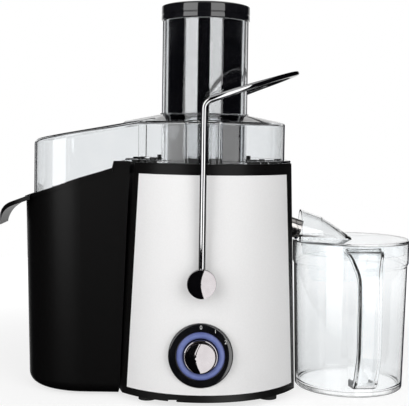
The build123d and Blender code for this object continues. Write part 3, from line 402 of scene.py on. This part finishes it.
# Feed lid: the clear cap with its chute, its flange, two saddle blocks for the arm and the hood over
# the bin, injection moulded in one piece of SAN and laid on the rim.
RIM_Z = 214.5
LID_WALL = 2.2
LID_R = 77.3
LID_SHOULDER = 251.7
LID_CROWN = 258.7
COLLAR_R = 42.3
COLLAR_TOP = 259.9
FLANGE_R = 87.0
FLANGE_SIDES = (-79.0, 81.0)
FLANGE_TOP = 217.0
BLOCK_FRONT = 88.0
HORN_FRONT = 84.0
BLOCK_BACK = 70.0
CHUTE_R = (37.3, 40.9)
CHUTE_LOW = 178.0
CHUTE_TOP = 348.1
HOOD_LEFT = -160.2
HOOD_RIGHT = -45.0
HOOD_HALF = 49.0
HOOD_CORNER = 36.0
HOOD_TOP = 252.2
HOOD_BEND = -63.0
HOOD_FALL = (0.1897, 0.1667)
HOOD_TUCK = 5.0
HOOD_STEP = -88.0
HOOD_RISE = 2.6
BIN_RIM = (-79.7, 210.0)
BIN_SLOPE = 0.34
CLEAR_IOR = 1.49
# Painted edge shade of the clear mouldings: how edge on and how upright an outer wall must be to take
# it, and its dark navy colour.
EDGE_SLANT = (0.72, 0.86)
WALL_SLANT = (0.25, 0.55)
PAINTED_EDGE_SHADE = (0.006, 0.006, 0.016, 1)


def clear_finish(name, tones):
    """Clear moulding: a refracting skin with painted navy shade over its outer walls where they are seen
    edge on.
    """
    mat, shader = finish_of(name, tones[0], 0.0)
    add_grain(mat, shader, tones, (0.0, 0.015), 40, 0.000002)
    shader.inputs["Transmission Weight"].default_value = 1.0
    shader.inputs["IOR"].default_value = CLEAR_IOR
    nodes, links = mat.node_tree.nodes, mat.node_tree.links
    slant = nodes.new("ShaderNodeLayerWeight")
    slant.inputs["Blend"].default_value = 0.5
    rise = nodes.new("ShaderNodeMapRange")
    rise.interpolation_type = "SMOOTHSTEP"
    rise.inputs["From Min"].default_value = EDGE_SLANT[0]
    rise.inputs["From Max"].default_value = EDGE_SLANT[1]
    skin = nodes.new("ShaderNodeNewGeometry")
    upright = nodes.new("ShaderNodeSeparateXYZ")
    links.new(skin.outputs["Normal"], upright.inputs[0])
    level = nodes.new("ShaderNodeMath")
    level.operation = "ABSOLUTE"
    links.new(upright.outputs["Z"], level.inputs[0])
    walls = nodes.new("ShaderNodeMapRange")
    walls.inputs["From Min"].default_value = WALL_SLANT[0]
    walls.inputs["From Max"].default_value = WALL_SLANT[1]
    walls.inputs["To Min"].default_value = 1.0
    walls.inputs["To Max"].default_value = 0.0
    links.new(level.outputs[0], walls.inputs["Value"])
    painted_edge_mask = nodes.new("ShaderNodeMath")
    painted_edge_mask.operation = "MULTIPLY"
    links.new(rise.outputs["Result"], painted_edge_mask.inputs[0])
    links.new(walls.outputs["Result"], painted_edge_mask.inputs[1])
    ray = nodes.new("ShaderNodeLightPath")
    outer = nodes.new("ShaderNodeMath")
    outer.operation = "LESS_THAN"
    outer.inputs[1].default_value = 0.5
    links.new(ray.outputs["Transmission Depth"], outer.inputs[0])
    outline = nodes.new("ShaderNodeMath")
    outline.operation = "MULTIPLY"
    links.new(painted_edge_mask.outputs[0], outline.inputs[0])
    links.new(outer.outputs[0], outline.inputs[1])
    # Painted shade: a dark navy diffuse laid over outer walls seen edge on, in place of the dark edges
    # that refraction gives.
    edge = nodes.new("ShaderNodeBsdfDiffuse")
    edge.inputs["Color"].default_value = PAINTED_EDGE_SHADE
    mix = nodes.new("ShaderNodeMixShader")
    links.new(slant.outputs["Facing"], rise.inputs["Value"])
    links.new(outline.outputs[0], mix.inputs[0])
    links.new(shader.outputs[0], mix.inputs[1])
    links.new(edge.outputs[0], mix.inputs[2])
    links.new(mix.outputs[0], nodes["Material Output"].inputs["Surface"])
    return mat


def combine(piece, other, how):
    """Joins or cuts one closed piece with another and drops the other."""
    step = piece.modifiers.new(how, "BOOLEAN")
    step.operation = how
    step.solver = "EXACT"
    step.object = other
    made = bpy.data.meshes.new_from_object(piece.evaluated_get(bpy.context.evaluated_depsgraph_get()))
    piece.modifiers.remove(step)
    old = piece.data
    piece.data = made
    bpy.data.meshes.remove(old)
    bpy.data.objects.remove(other)
    return piece


def layered(name, rings, crease=30):
    """A closed skin over rings of equal count, the first and last ones filled."""
    count = len(rings[0])
    points = [spot for ring in rings for spot in ring]
    faces = [tuple(range(count)), tuple(range(len(points) - count, len(points)))]
    for k in range(len(rings) - 1):
        for i in range(count):
            j = (i + 1) % count
            faces.append((k * count + i, k * count + j, (k + 1) * count + j, (k + 1) * count + i))
    return solid_from(name, points, faces, crease)


def slab(name, outline, low, high, ease):
    """An outline of x and y raised between two heights, with its upper and lower edges rounded."""
    middle = Vector((sum(p[0] for p in outline), sum(p[1] for p in outline))) / len(outline)
    reach = max((Vector(p) - middle).length for p in outline)
    rings = []
    for z, way in ((low, -1), (high, 1)):
        turns = [k / 4 * pi / 2 for k in range(5)]
        for turn in turns if way > 0 else reversed(turns):
            share = 1 - ease * (1 - cos(turn)) / reach
            level = z - way * ease * (1 - sin(turn))
            rings.append([(*(middle + (Vector(p) - middle) * share), level) for p in outline])
    return layered(name, rings)


def hood_skin(name, inset, drop, ease):
    """The hood's closed form: a plan with round left corners under a sloped top with round edges."""
    left, half, corner = HOOD_LEFT + inset, HOOD_HALF - inset, HOOD_CORNER - inset
    plan = [(HOOD_RIGHT, -half, 0), (HOOD_RIGHT, half, 0), (left, half, corner), (left, -half, corner)]
    plan = eased(plan, 14)

    def top(x):
        return HOOD_TOP - inset - HOOD_FALL[0 if x < HOOD_BEND else 1] * (HOOD_BEND - x)

    rings = [[(x, y, drop(x)) for x, y in plan]]
    for k in range(7):
        turn = k / 6 * pi / 2
        back = ease * (1 - cos(turn))
        ring = []
        for x, y in plan:
            x2 = max(x, left + back) if x < HOOD_RIGHT else x
            y2 = max(-half + back, min(half - back, y))
            toward = Vector((left + corner, max(-half + corner, min(half - corner, y))))
            if x < left + corner:
                spoke = Vector((x, y)) - toward
                spoke *= (corner - back) / corner
                x2, y2 = toward + spoke
            ring.append((x2, y2, top(x2) - ease * (1 - sin(turn))))
        rings.append(ring)
    return layered(name, rings)


def bin_edge(x):
    """Height of the bin's sloped rim."""
    return BIN_RIM[1] + BIN_SLOPE * (x - BIN_RIM[0])


def hood_edge(x):
    """Lower edge of the hood: just inside the bin's sloped rim, then on the body's rim."""
    if x < HOOD_STEP:
        return bin_edge(x) - HOOD_TUCK
    return min(RIM_Z, bin_edge(HOOD_STEP) - HOOD_TUCK + (x - HOOD_STEP) * HOOD_RISE)


clear_lid = clear_finish("clear_lid", ((0.94, 0.955, 0.965), (0.96, 0.972, 0.98)))
cap_edge = [(0, RIM_Z, 0), (LID_R, RIM_Z, 0), (LID_R, LID_SHOULDER, 2.6), (COLLAR_R, LID_CROWN, 0.8)]
cap_edge += [(COLLAR_R, COLLAR_TOP, 0.5), (0, COLLAR_TOP, 0)]
lid = turned("lid", eased(cap_edge), steps=180)
flange = []
for i in range(180):
    angle = 2 * pi * i / 180
    x = max(FLANGE_SIDES[0], min(FLANGE_SIDES[1], FLANGE_R * cos(angle)))
    flange.append((x, FLANGE_R * sin(angle)))
combine(lid, slab("lid_flange", flange, RIM_Z, FLANGE_TOP, 0.7), "UNION")
for side in (-1, 1):
    block_plan = [(-17, side * BLOCK_BACK, 0), (17, side * BLOCK_BACK, 0)]
    block_plan += [(16, side * BLOCK_FRONT, 3), (-16, side * BLOCK_FRONT, 3)]
    combine(lid, slab("saddle_block", eased(block_plan), RIM_Z + 0.1, LID_SHOULDER, 1.2), "UNION")
    horns = [(-16, 246, 0), (16, 246, 0), (15, 251, 2), (11.5, 256.5, 3), (7.8, 263, 1.6)]
    horns += [(3.6, 257, 2.5), (-3.6, 257, 2.5), (-7.8, 263, 1.6), (-11.5, 256.5, 3), (-15, 251, 2)]
    profile = eased(horns, 4)
    rings = [[(x, side * depth, z) for x, z in profile] for depth in (BLOCK_BACK, HORN_FRONT)]
    combine(lid, layered("saddle_horns", rings), "UNION")
combine(lid, hood_skin("hood_outside", 0, hood_edge, 5), "UNION")
room_r = LID_R - LID_WALL
inside = [(0, 190, 0), (room_r, 190, 0), (room_r, 250, 2), (41, 256.5, 0.5), (0, 256.5, 0)]
combine(lid, turned("lid_inside", eased(inside), steps=180), "DIFFERENCE")
combine(lid, hood_skin("hood_inside", LID_WALL, lambda x: hood_edge(x) - 30, 3), "DIFFERENCE")
bore = turned("chute_bore", [(0, 200), (39, 200), (39, 300), (0, 300)], steps=180)
combine(lid, bore, "DIFFERENCE")
chute = [(CHUTE_R[0], CHUTE_LOW, 0.8), (CHUTE_R[1], CHUTE_LOW, 0.8)]
chute += [(CHUTE_R[1], CHUTE_TOP, 1.2), (CHUTE_R[0], CHUTE_TOP, 1.2)]
combine(lid, turned("chute", eased(chute), steps=180), "UNION")
lid.data.shade_smooth()
lid.data.set_sharp_from_angle(angle=radians(30))
new_piece(lid, "base", "clear_plastic", clear_lid, "feed_lid")
lid.visible_shadow = False

# Lid pads: short blocks of black rubber on the foot of the lid's wall. They are moulded in groups,
# centre the lid over the bowl and keep it from rattling on the rim.
PAD_R = (71.8, 74.9)
PAD_LOW = 0.3
PAD_STEPS = 6
PAD_RUNS = [(-54, -49, 4.4), (-46.5, -42, 3.4), (-40, -33, 4.6), (-13, -4, 4.6), (4, 12.5, 4.6)]
PAD_RUNS += [(31, 40, 3.8), (43, 47, 4.2), (51, 57, 3.2), (62, 74, 3.6)]
PAD_RUNS += [(140, 150, 4.4), (210, 220, 4.4)]
points, faces = [], []
for first, last, high in PAD_RUNS:
    start = len(points)
    for k in range(PAD_STEPS + 1):
        turn = radians(first + (last - first) * k / PAD_STEPS)
        for r, z in ((PAD_R[0], PAD_LOW), (PAD_R[1], PAD_LOW), (PAD_R[1], high), (PAD_R[0] + 1, high)):
            points.append((r * sin(turn), -r * cos(turn), RIM_Z + z))
    for k in range(PAD_STEPS):
        row = start + 4 * k
        faces += [(row + i, row + (i + 1) % 4, row + 4 + (i + 1) % 4, row + 4 + i) for i in range(4)]
    faces += [tuple(range(start, start + 4)), tuple(range(len(points) - 4, len(points)))]
new_piece(solid_from("lid_pads", points, faces), "base", "rubber", foot_rubber)

# Pusher barrel: a hollow black barrel that slides in the chute, moulded in ABS with a deep gloss and
# closed at its foot.
PUSHER_R = (33.2, 35.6)
PUSHER_LOW = 181.0
PUSHER_FLOOR = 184.0
BARREL_TONES = ((0.0008, 0.0008, 0.001), (0.0014, 0.0014, 0.0016))
barrel_edge = [(0, PUSHER_LOW, 0), (PUSHER_R[1], PUSHER_LOW, 1.6), (PUSHER_R[1], CHUTE_TOP, 0)]
barrel_edge += [(PUSHER_R[0], CHUTE_TOP, 0), (PUSHER_R[0], PUSHER_FLOOR, 1), (0, PUSHER_FLOOR, 0)]
barrel = turned("barrel", eased(barrel_edge), steps=160)
barrel_gloss, shader = finish_of("barrel_gloss", (0.0010, 0.0010, 0.0012), 0.04)
add_grain(barrel_gloss, shader, BARREL_TONES, (0.03, 0.06), 50, 0.000001)
shader.inputs["Specular IOR Level"].default_value = 1.0
shader.inputs["Coat Weight"].default_value = 1.0
shader.inputs["Coat IOR"].default_value = 2.0
new_piece(barrel, "pusher", "gloss_black", barrel_gloss, "pusher_barrel")

# Pusher cap: a gloss black lid with a low crown that overhangs the chute's mouth, pressed on the
# barrel. A fine groove runs round its edge.
CAP_R = 42.3
GROOVE_R = 41.5
cap_rim = [(0, CHUTE_TOP, 0), (CAP_R, CHUTE_TOP, 0.8), (CAP_R, 352.6, 0.2), (GROOVE_R, 353, 0)]
cap_rim += [(GROOVE_R, 353.5, 0), (CAP_R, 353.9, 0.2), (CAP_R, 361.4, 1.4), (38.5, 362.8, 3)]
cap_rim += [(28, 364.5, 5), (14, 365.4, 0), (0, 365.5, 0)]
cap = turned("pusher_top", eased(cap_rim), steps=160)
new_piece(cap, "pusher", "gloss_black", gloss_black, "pusher_cap")

# Locking arm: one chromed steel rod bent into a loop, pressed flat where the hand takes it. Its two
# legs end in eyes that turn on the pivot pins.
PIVOT_Z = 111.7
ARM_Y = 99.4
ROD_R = 3.0
STRAP_HALF = (2.1, 5.0)
BEND_R = 9.0
BEND_Z = 268.8
LOOP_RISE = 19.2
LOOP_REACH = 90.0
EYE_R = (5.05, 10.0)
EYE_Y = (96.2, 102.5)


def arm_line():
    """Points of the rod with its outward side and how far it is pressed flat."""
    rise = radians(LOOP_RISE)
    along = Vector((cos(rise), 0, sin(rise)))
    front = Vector((0, -1, 0))
    turn = BEND_R * tan(radians(90 - LOOP_RISE) / 2)
    bend_low = BEND_Z - turn
    line = []
    for k in range(24):
        line.append((Vector((0, -ARM_Y, PIVOT_Z + (bend_low - PIVOT_Z) * k / 24)), front, 0))
    pivot = Vector((BEND_R, -ARM_Y, bend_low))
    for k in range(13):
        swing = radians(90 - LOOP_RISE) * k / 12
        line.append((pivot + Vector((-BEND_R * cos(swing), 0, BEND_R * sin(swing))), front, 0))
    middle = Vector((0, 0, BEND_Z)) + along * turn
    reach = LOOP_REACH - turn
    for k in range(1, 60):
        swing = -pi / 2 + pi * k / 120
        spot = middle + along * (reach * cos(swing)) + Vector((0, ARM_Y * sin(swing), 0))
        out = along * (cos(swing) / reach) + Vector((0, sin(swing) / ARM_Y, 0))
        press = min(1, max(0, (k - 8) / 22))
        line.append((spot, out.normalized(), press * press * (3 - 2 * press)))
    far = [(Vector((p.x, -p.y, p.z)), Vector((o.x, -o.y, o.z)), flat) for p, o, flat in reversed(line)]
    return line + [(middle + along * reach, along, 1)] + far


def arm_mesh():
    """The rod's skin: round along the legs, a rounded strap across the loop."""
    line, rings = arm_line(), []
    for i, (spot, out, flat) in enumerate(line):
        ahead = line[min(i + 1, len(line) - 1)][0] - line[max(i - 1, 0)][0]
        up = ahead.normalized().cross(out).normalized()
        thick, wide = [ROD_R + (half - ROD_R) * flat for half in STRAP_HALF]
        power = 2 / (2 + 1.6 * flat)
        ring = []
        for k in range(28):
            a = 2 * pi * k / 28
            c, s = cos(a), sin(a)
            c, s = abs(c) ** power * (1 if c > 0 else -1), abs(s) ** power * (1 if s > 0 else -1)
            ring.append(spot + out * (wide * c) + up * (thick * s))
        rings.append(ring)
    return layered("arm", rings, 60)


arm = arm_mesh()
eye_edge = [(EYE_R[0], EYE_Y[0], 0.4), (EYE_R[1], EYE_Y[0], 0.6)]
eye_edge += [(EYE_R[1], EYE_Y[1], 0.4), (EYE_R[0], EYE_Y[1], 0.4)]
for side in (-1, 1):
    eye = turned("arm_eye", eased(eye_edge, 3), (0, 0, PIVOT_Z), front=True, steps=72)
    if side > 0:
        for spot in eye.data.vertices:
            spot.co.y = -spot.co.y
        eye.data.flip_normals()
    combine(arm, eye, "UNION")
arm.data.shade_smooth()
arm.data.set_sharp_from_angle(angle=radians(45))
rod_chrome, shader = finish_of("rod_chrome", (0.40, 0.40, 0.405), 0.05, 1.0)
add_grain(rod_chrome, shader, ((0.39, 0.39, 0.395), (0.41, 0.41, 0.415)), (0.035, 0.065), 200, 0.000001)
shader.inputs["Specular Tint"].default_value = (0, 0, 0, 1)
new_piece(arm, "arm", "chrome", rod_chrome, "locking_arm")

# Pivot caps: two discs of ABS under satin chrome, pressed on the arm's eyes over the pins. The face of
# each has two shallow slopes.
PIVOT_CAP_R = 12.8
PIVOT_CAP_HIGH = 107.8
PIVOT_CAP_FALL = (0.10, 0.22)


def cap_face(x, v):
    """Height of a pivot cap's face: two shallow slopes that meet in a bowed ridge."""
    side = x - 2.2 + 2.9 * cos(pi * v / 26)
    fall = PIVOT_CAP_FALL[0] if side < 0 else PIVOT_CAP_FALL[1]
    return PIVOT_CAP_HIGH - fall * sqrt(side * side + 0.2)


def cap_mesh(side):
    """One pivot cap: a short drum with a rounded edge under its faced top."""
    steps = 96
    rows = [(0.001, EYE_Y[1]), (12.6, EYE_Y[1]), (PIVOT_CAP_R, 102.8), (PIVOT_CAP_R, 104.2)]
    rows += [(12.7, 104.5)] + [(12.5 * (1 - k / 12.02), None) for k in range(13)]
    rings = []
    for r, h in rows:
        ring = []
        for i in range(steps):
            angle = 2 * pi * i / steps
            x, v = r * cos(angle), r * sin(angle)
            ring.append((x, side * (cap_face(x, v) if h is None else h), PIVOT_Z + v))
        rings.append(ring)
    return layered("arm_cap_front" if side < 0 else "arm_cap_back", rings, 40)


new_piece(cap_mesh(-1), "arm", "chrome", satin_chrome, "arm_pivot_caps")
new_piece(cap_mesh(1), "arm", "chrome", satin_chrome)

# Pulp bin: a tall black bin with rounded corners, a beaded sloped rim and a drooping finger grip,
# moulded in one piece and hooked on two pins of the rim.
BIN_TONES = ((0.0012, 0.0011, 0.0011), (0.0022, 0.0020, 0.0020))
bin_black, shader = finish_of("bin_black", (0.0016, 0.0014, 0.0014), 0.4)
add_grain(bin_black, shader, BIN_TONES, (0.33, 0.40), 1500, 0.000015)
shader.inputs["Specular IOR Level"].default_value = 0.2
dress(bin_black, "pulp_bin")

# Juice jug: a clear tapered jug of SAN with a collar under its mouth and a bowed channel handle,
# moulded in one piece. It stands under the spout.
JUG_X = 143
JUG_TOP = 140.3
JUG_FOOT_R = 51.6
JUG_FLARE = 3.2
JUG_FLOOR = 4.0
JUG_WALL = 2.4
JUG_STEP = (117.0, 120.0)
JUG_COLLAR = 1.0
HANDLE_TURN = 3.6
HANDLE_WALL = 2.4
HANDLE_RUN = [(48, 139.6, 0), (70, 136.2, 18), (88, 116, 26), (91.2, 88, 60)]
HANDLE_RUN += [(90.5, 45, 40), (76, 14, 16), (48, 10, 0)]
HANDLE_ROOT = (112.0, 26.0)
HANDLE_HALF = (10.4, 7.0)
HANDLE_LEG = (7.6, 2.9)


def jug_r(z):
    """Outer radius of the jug's tapered wall at a height."""
    return JUG_FOOT_R + JUG_FLARE * z / JUG_TOP


def handle_mesh():
    """The handle's skin: a channel, open to the jug, that widens and flattens at its upper root."""
    run, rings = eased(HANDLE_RUN + [(30, 70, 0)], 10)[:-1], []
    lean = Matrix.Rotation(radians(HANDLE_TURN), 3, "Z")
    for i, (out, z) in enumerate(run):
        a, b = run[max(i - 1, 0)], run[min(i + 1, len(run) - 1)]
        ahead = Vector((b[0] - a[0], b[1] - a[1])).normalized()
        inward = Vector((ahead.y, -ahead.x))
        if inward.x > 0 and abs(inward.x) > 0.5 or inward.dot(Vector((40 - out, 70 - z))) < 0:
            inward = -inward
        root = max(0, min(1, (z - HANDLE_ROOT[0]) / HANDLE_ROOT[1])) ** 2
        half, leg = HANDLE_HALF[0] + HANDLE_HALF[1] * root, HANDLE_LEG[0] - HANDLE_LEG[1] * root
        tip, web = half - HANDLE_WALL, half - HANDLE_WALL - 0.2
        channel = eased([
            (-half, 0, 1.6), (half, 0, 1.6), (half, leg, 1.1), (tip, leg, 1.1),
            (web, 2.2, 0.6), (-web, 2.2, 0.6), (-tip, leg, 1.1), (-half, leg, 1.1),
        ], 4)
        ring = []
        for x, deep in channel:
            spot = lean @ Vector((x, -(out + inward.x * deep), z + inward.y * deep))
            ring.append((JUG_X + spot.x, spot.y, spot.z))
        rings.append(ring)
    return layered("handle", rings)


clear_jug = clear_finish("clear_jug", ((0.95, 0.963, 0.97), (0.968, 0.978, 0.983)))
low, high = JUG_STEP
outside = [(0, 0, 0), (jug_r(0) - 0.4, 0, 2.2), (jug_r(low), low, 1.5)]
outside += [(jug_r(high) + JUG_COLLAR, high, 1.5), (jug_r(JUG_TOP) + JUG_COLLAR, JUG_TOP, 1.0)]
outside += [(0, JUG_TOP, 0)]
jug = turned("jug", eased(outside), (JUG_X, 0, 0), steps=160)
combine(jug, handle_mesh(), "UNION")
slim = JUG_WALL - JUG_COLLAR
within = [(0, JUG_FLOOR, 0), (jug_r(0) - JUG_WALL - 0.4, JUG_FLOOR, 4)]
within += [(jug_r(low) - JUG_WALL, low, 1.5), (jug_r(high) - slim, high, 1.5)]
within += [(jug_r(JUG_TOP) - slim, JUG_TOP + 4, 0), (0, JUG_TOP + 4, 0)]
combine(jug, turned("jug_room", eased(within), (JUG_X, 0, 0), steps=160), "DIFFERENCE")
jug.data.shade_smooth()
jug.data.set_sharp_from_angle(angle=radians(30))
new_piece(jug, "jug", "clear_jug", clear_jug, "juice_jug")
jug.visible_shadow = False

# Jug lid: a clear plate with a plug ring, an arched cover over the spout and a plate that keeps the
# foam back, moulded in one piece and pressed into the jug's mouth.
dress(clear_jug, "jug_lid")
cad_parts["jug_lid"].visible_shadow = False

# Table: a round white top, large enough to run out into the white room. It stands flat under the feet
# and keeps the object's soft shadow.
FLOOR_R = 0.95
FLOOR_STEPS = 96
FADE_R = (0.2, 0.8)
FADE_LEVEL = (0.72, 1.0)
TABLE_TONE = (0.36, 0.36, 0.36, 1)
BOUNCE_TONE = (0.7, 0.7, 0.7, 1)
floor_mesh = bpy.data.meshes.new("floor")
turns = [2 * pi * i / FLOOR_STEPS for i in range(FLOOR_STEPS)]
rim = [(FLOOR_R * cos(turn), FLOOR_R * sin(turn), 0) for turn in turns]
floor_mesh.from_pydata(rim, [], [tuple(range(FLOOR_STEPS))])
floor = bpy.data.objects.new("floor", floor_mesh)
bpy.context.scene.collection.objects.link(floor)
floor.visible_glossy = False
table_white = bpy.data.materials.new("table_white")
table_white.use_nodes = True
nodes, links = table_white.node_tree.nodes, table_white.node_tree.links
nodes.clear()
ray = nodes.new("ShaderNodeLightPath")
direct = nodes.new("ShaderNodeMath")
direct.operation = "MAXIMUM"
links.new(ray.outputs["Is Camera Ray"], direct.inputs[0])
links.new(ray.outputs["Is Transmission Ray"], direct.inputs[1])
shade = nodes.new("ShaderNodeBsdfDiffuse")
shade.inputs["Color"].default_value = TABLE_TONE
glow = nodes.new("ShaderNodeEmission")
glow.inputs["Color"].default_value = (1, 1, 1, 1)
spot = nodes.new("ShaderNodeTexCoord")
reach = nodes.new("ShaderNodeVectorMath")
reach.operation = "LENGTH"
links.new(spot.outputs["Object"], reach.inputs[0])
fade = nodes.new("ShaderNodeMapRange")
fade.interpolation_type = "SMOOTHSTEP"
fade.inputs["From Min"].default_value = FADE_R[0]
fade.inputs["From Max"].default_value = FADE_R[1]
fade.inputs["To Min"].default_value = FADE_LEVEL[0]
fade.inputs["To Max"].default_value = FADE_LEVEL[1]
links.new(reach.outputs["Value"], fade.inputs["Value"])
links.new(fade.outputs["Result"], glow.inputs["Strength"])
seen = nodes.new("ShaderNodeAddShader")
bounce = nodes.new("ShaderNodeBsdfDiffuse")
bounce.inputs["Color"].default_value = BOUNCE_TONE
pick = nodes.new("ShaderNodeMixShader")
out = nodes.new("ShaderNodeOutputMaterial")
links.new(shade.outputs[0], seen.inputs[0])
links.new(glow.outputs[0], seen.inputs[1])
links.new(direct.outputs[0], pick.inputs[0])
links.new(bounce.outputs[0], pick.inputs[1])
links.new(seen.outputs[0], pick.inputs[2])
links.new(pick.outputs[0], out.inputs["Surface"])
floor_mesh.materials.append(table_white)

# Softboxes: two tall lamps behind white cloth, one on each side of the camera. Both face the object,
# and the right one reaches down past the table's edge.
LAMP_DISTANCE = 1.4
LAMP_TOP = 1.5


def softbox(name, turn, distance, wide, low, high, radiance):
    """A tall soft lamp that faces the object; turn is its angle from the camera, to the right."""
    lamp = bpy.data.lights.new(name, "AREA")
    lamp.shape = "RECTANGLE"
    lamp.size = wide
    lamp.size_y = high - low
    lamp.energy = radiance * pi * wide * (high - low)
    stand = bpy.data.objects.new(name, lamp)
    bpy.context.scene.collection.objects.link(stand)
    angle = radians(turn)
    stand.location = (distance * sin(angle), -distance * cos(angle), (low + high) / 2)
    stand.rotation_euler = (radians(90), 0, angle)
    return stand


softbox("left_softbox", -39.7, LAMP_DISTANCE, wide=0.96, low=-0.02, high=LAMP_TOP, radiance=2.9)
softbox("right_softbox", 31, LAMP_DISTANCE, wide=0.91, low=-0.9, high=LAMP_TOP, radiance=2.7)

# Room: white to the eye and behind clear plastic. Polished pieces mirror its bright back wall and
# ceiling and its dark sides, and a low even light fills the shadows.
CLEAR_SLANT = (0.35, 0.75)
MIRROR_SLANT = (0.78, 0.92)
WHITE = (1, 1, 1, 1)
NAVY = (0.02, 0.02, 0.04, 1)
DARK = (0.005, 0.005, 0.007, 1)
FILL_LEVEL = 0.3
world = bpy.data.worlds.new("studio")
bpy.context.scene.world = world
world.use_nodes = True
nodes, links = world.node_tree.nodes, world.node_tree.links
nodes.clear()


def wall(source, slant, first, last):
    """Light of the room by direction, from one tone to another."""
    ramp = nodes.new("ShaderNodeValToRGB")
    for stop, place, tone in zip(ramp.color_ramp.elements, slant, (first, last)):
        stop.position = place
        stop.color = tone
    glow = nodes.new("ShaderNodeBackground")
    links.new(source, ramp.inputs["Fac"])
    links.new(ramp.outputs["Color"], glow.inputs["Color"])
    return glow


def plain(level):
    """Even light from all sides."""
    glow = nodes.new("ShaderNodeBackground")
    glow.inputs["Color"].default_value = (level, level, level, 1)
    return glow


def choose(switch, first, second):
    """The second light where the switch is on, the first where it is off."""
    mix = nodes.new("ShaderNodeMixShader")
    links.new(switch, mix.inputs[0])
    links.new(first.outputs[0], mix.inputs[1])
    links.new(second.outputs[0], mix.inputs[2])
    return mix


ray = nodes.new("ShaderNodeLightPath")
way = nodes.new("ShaderNodeTexCoord")
split = nodes.new("ShaderNodeSeparateXYZ")
links.new(way.outputs["Generated"], split.inputs[0])
depth = nodes.new("ShaderNodeMath")
depth.operation = "ABSOLUTE"
links.new(split.outputs["Z"], depth.inputs[0])
bright = nodes.new("ShaderNodeMath")
bright.operation = "MAXIMUM"
links.new(split.outputs["Y"], bright.inputs[0])
links.new(split.outputs["Z"], bright.inputs[1])
mirrored = nodes.new("ShaderNodeMath")
mirrored.operation = "GREATER_THAN"
mirrored.inputs[1].default_value = 0.5
links.new(ray.outputs["Glossy Depth"], mirrored.inputs[0])
through = wall(depth.outputs[0], CLEAR_SLANT, WHITE, NAVY)
mirror = wall(bright.outputs[0], MIRROR_SLANT, DARK, WHITE)
light = choose(mirrored.outputs[0], through, mirror)
light = choose(ray.outputs["Is Diffuse Ray"], light, plain(FILL_LEVEL))
light = choose(ray.outputs["Is Camera Ray"], light, plain(1.0))
out = nodes.new("ShaderNodeOutputWorld")
links.new(light.outputs[0], out.inputs["Surface"])

# Camera: a long lens at the height of the lid, straight in front of the object. It is shifted a little
# to frame the whole machine, and leans very slightly.
CAMERA_SPOT = (0.0020, -0.9391, 0.2444)
CAMERA_TURN = 0.068
CAMERA_TILT = 90 - 2.37
CAMERA_LEAN = 0.85
CAMERA_LENS = 85.88
CAMERA_SHIFT = -0.08
lens = bpy.data.cameras.new("camera")
lens.lens = CAMERA_LENS
lens.shift_y = CAMERA_SHIFT
camera = bpy.data.objects.new("camera", lens)
bpy.context.scene.collection.objects.link(camera)
camera.matrix_world = (
    Matrix.Translation(CAMERA_SPOT)
    @ Matrix.Rotation(radians(CAMERA_TURN), 4, "Z")
    @ Matrix.Rotation(radians(CAMERA_TILT), 4, "X")
    @ Matrix.Rotation(radians(CAMERA_LEAN), 4, "Z")
)
bpy.context.scene.camera = camera
bpy.context.scene.view_settings.view_transform = "Standard"
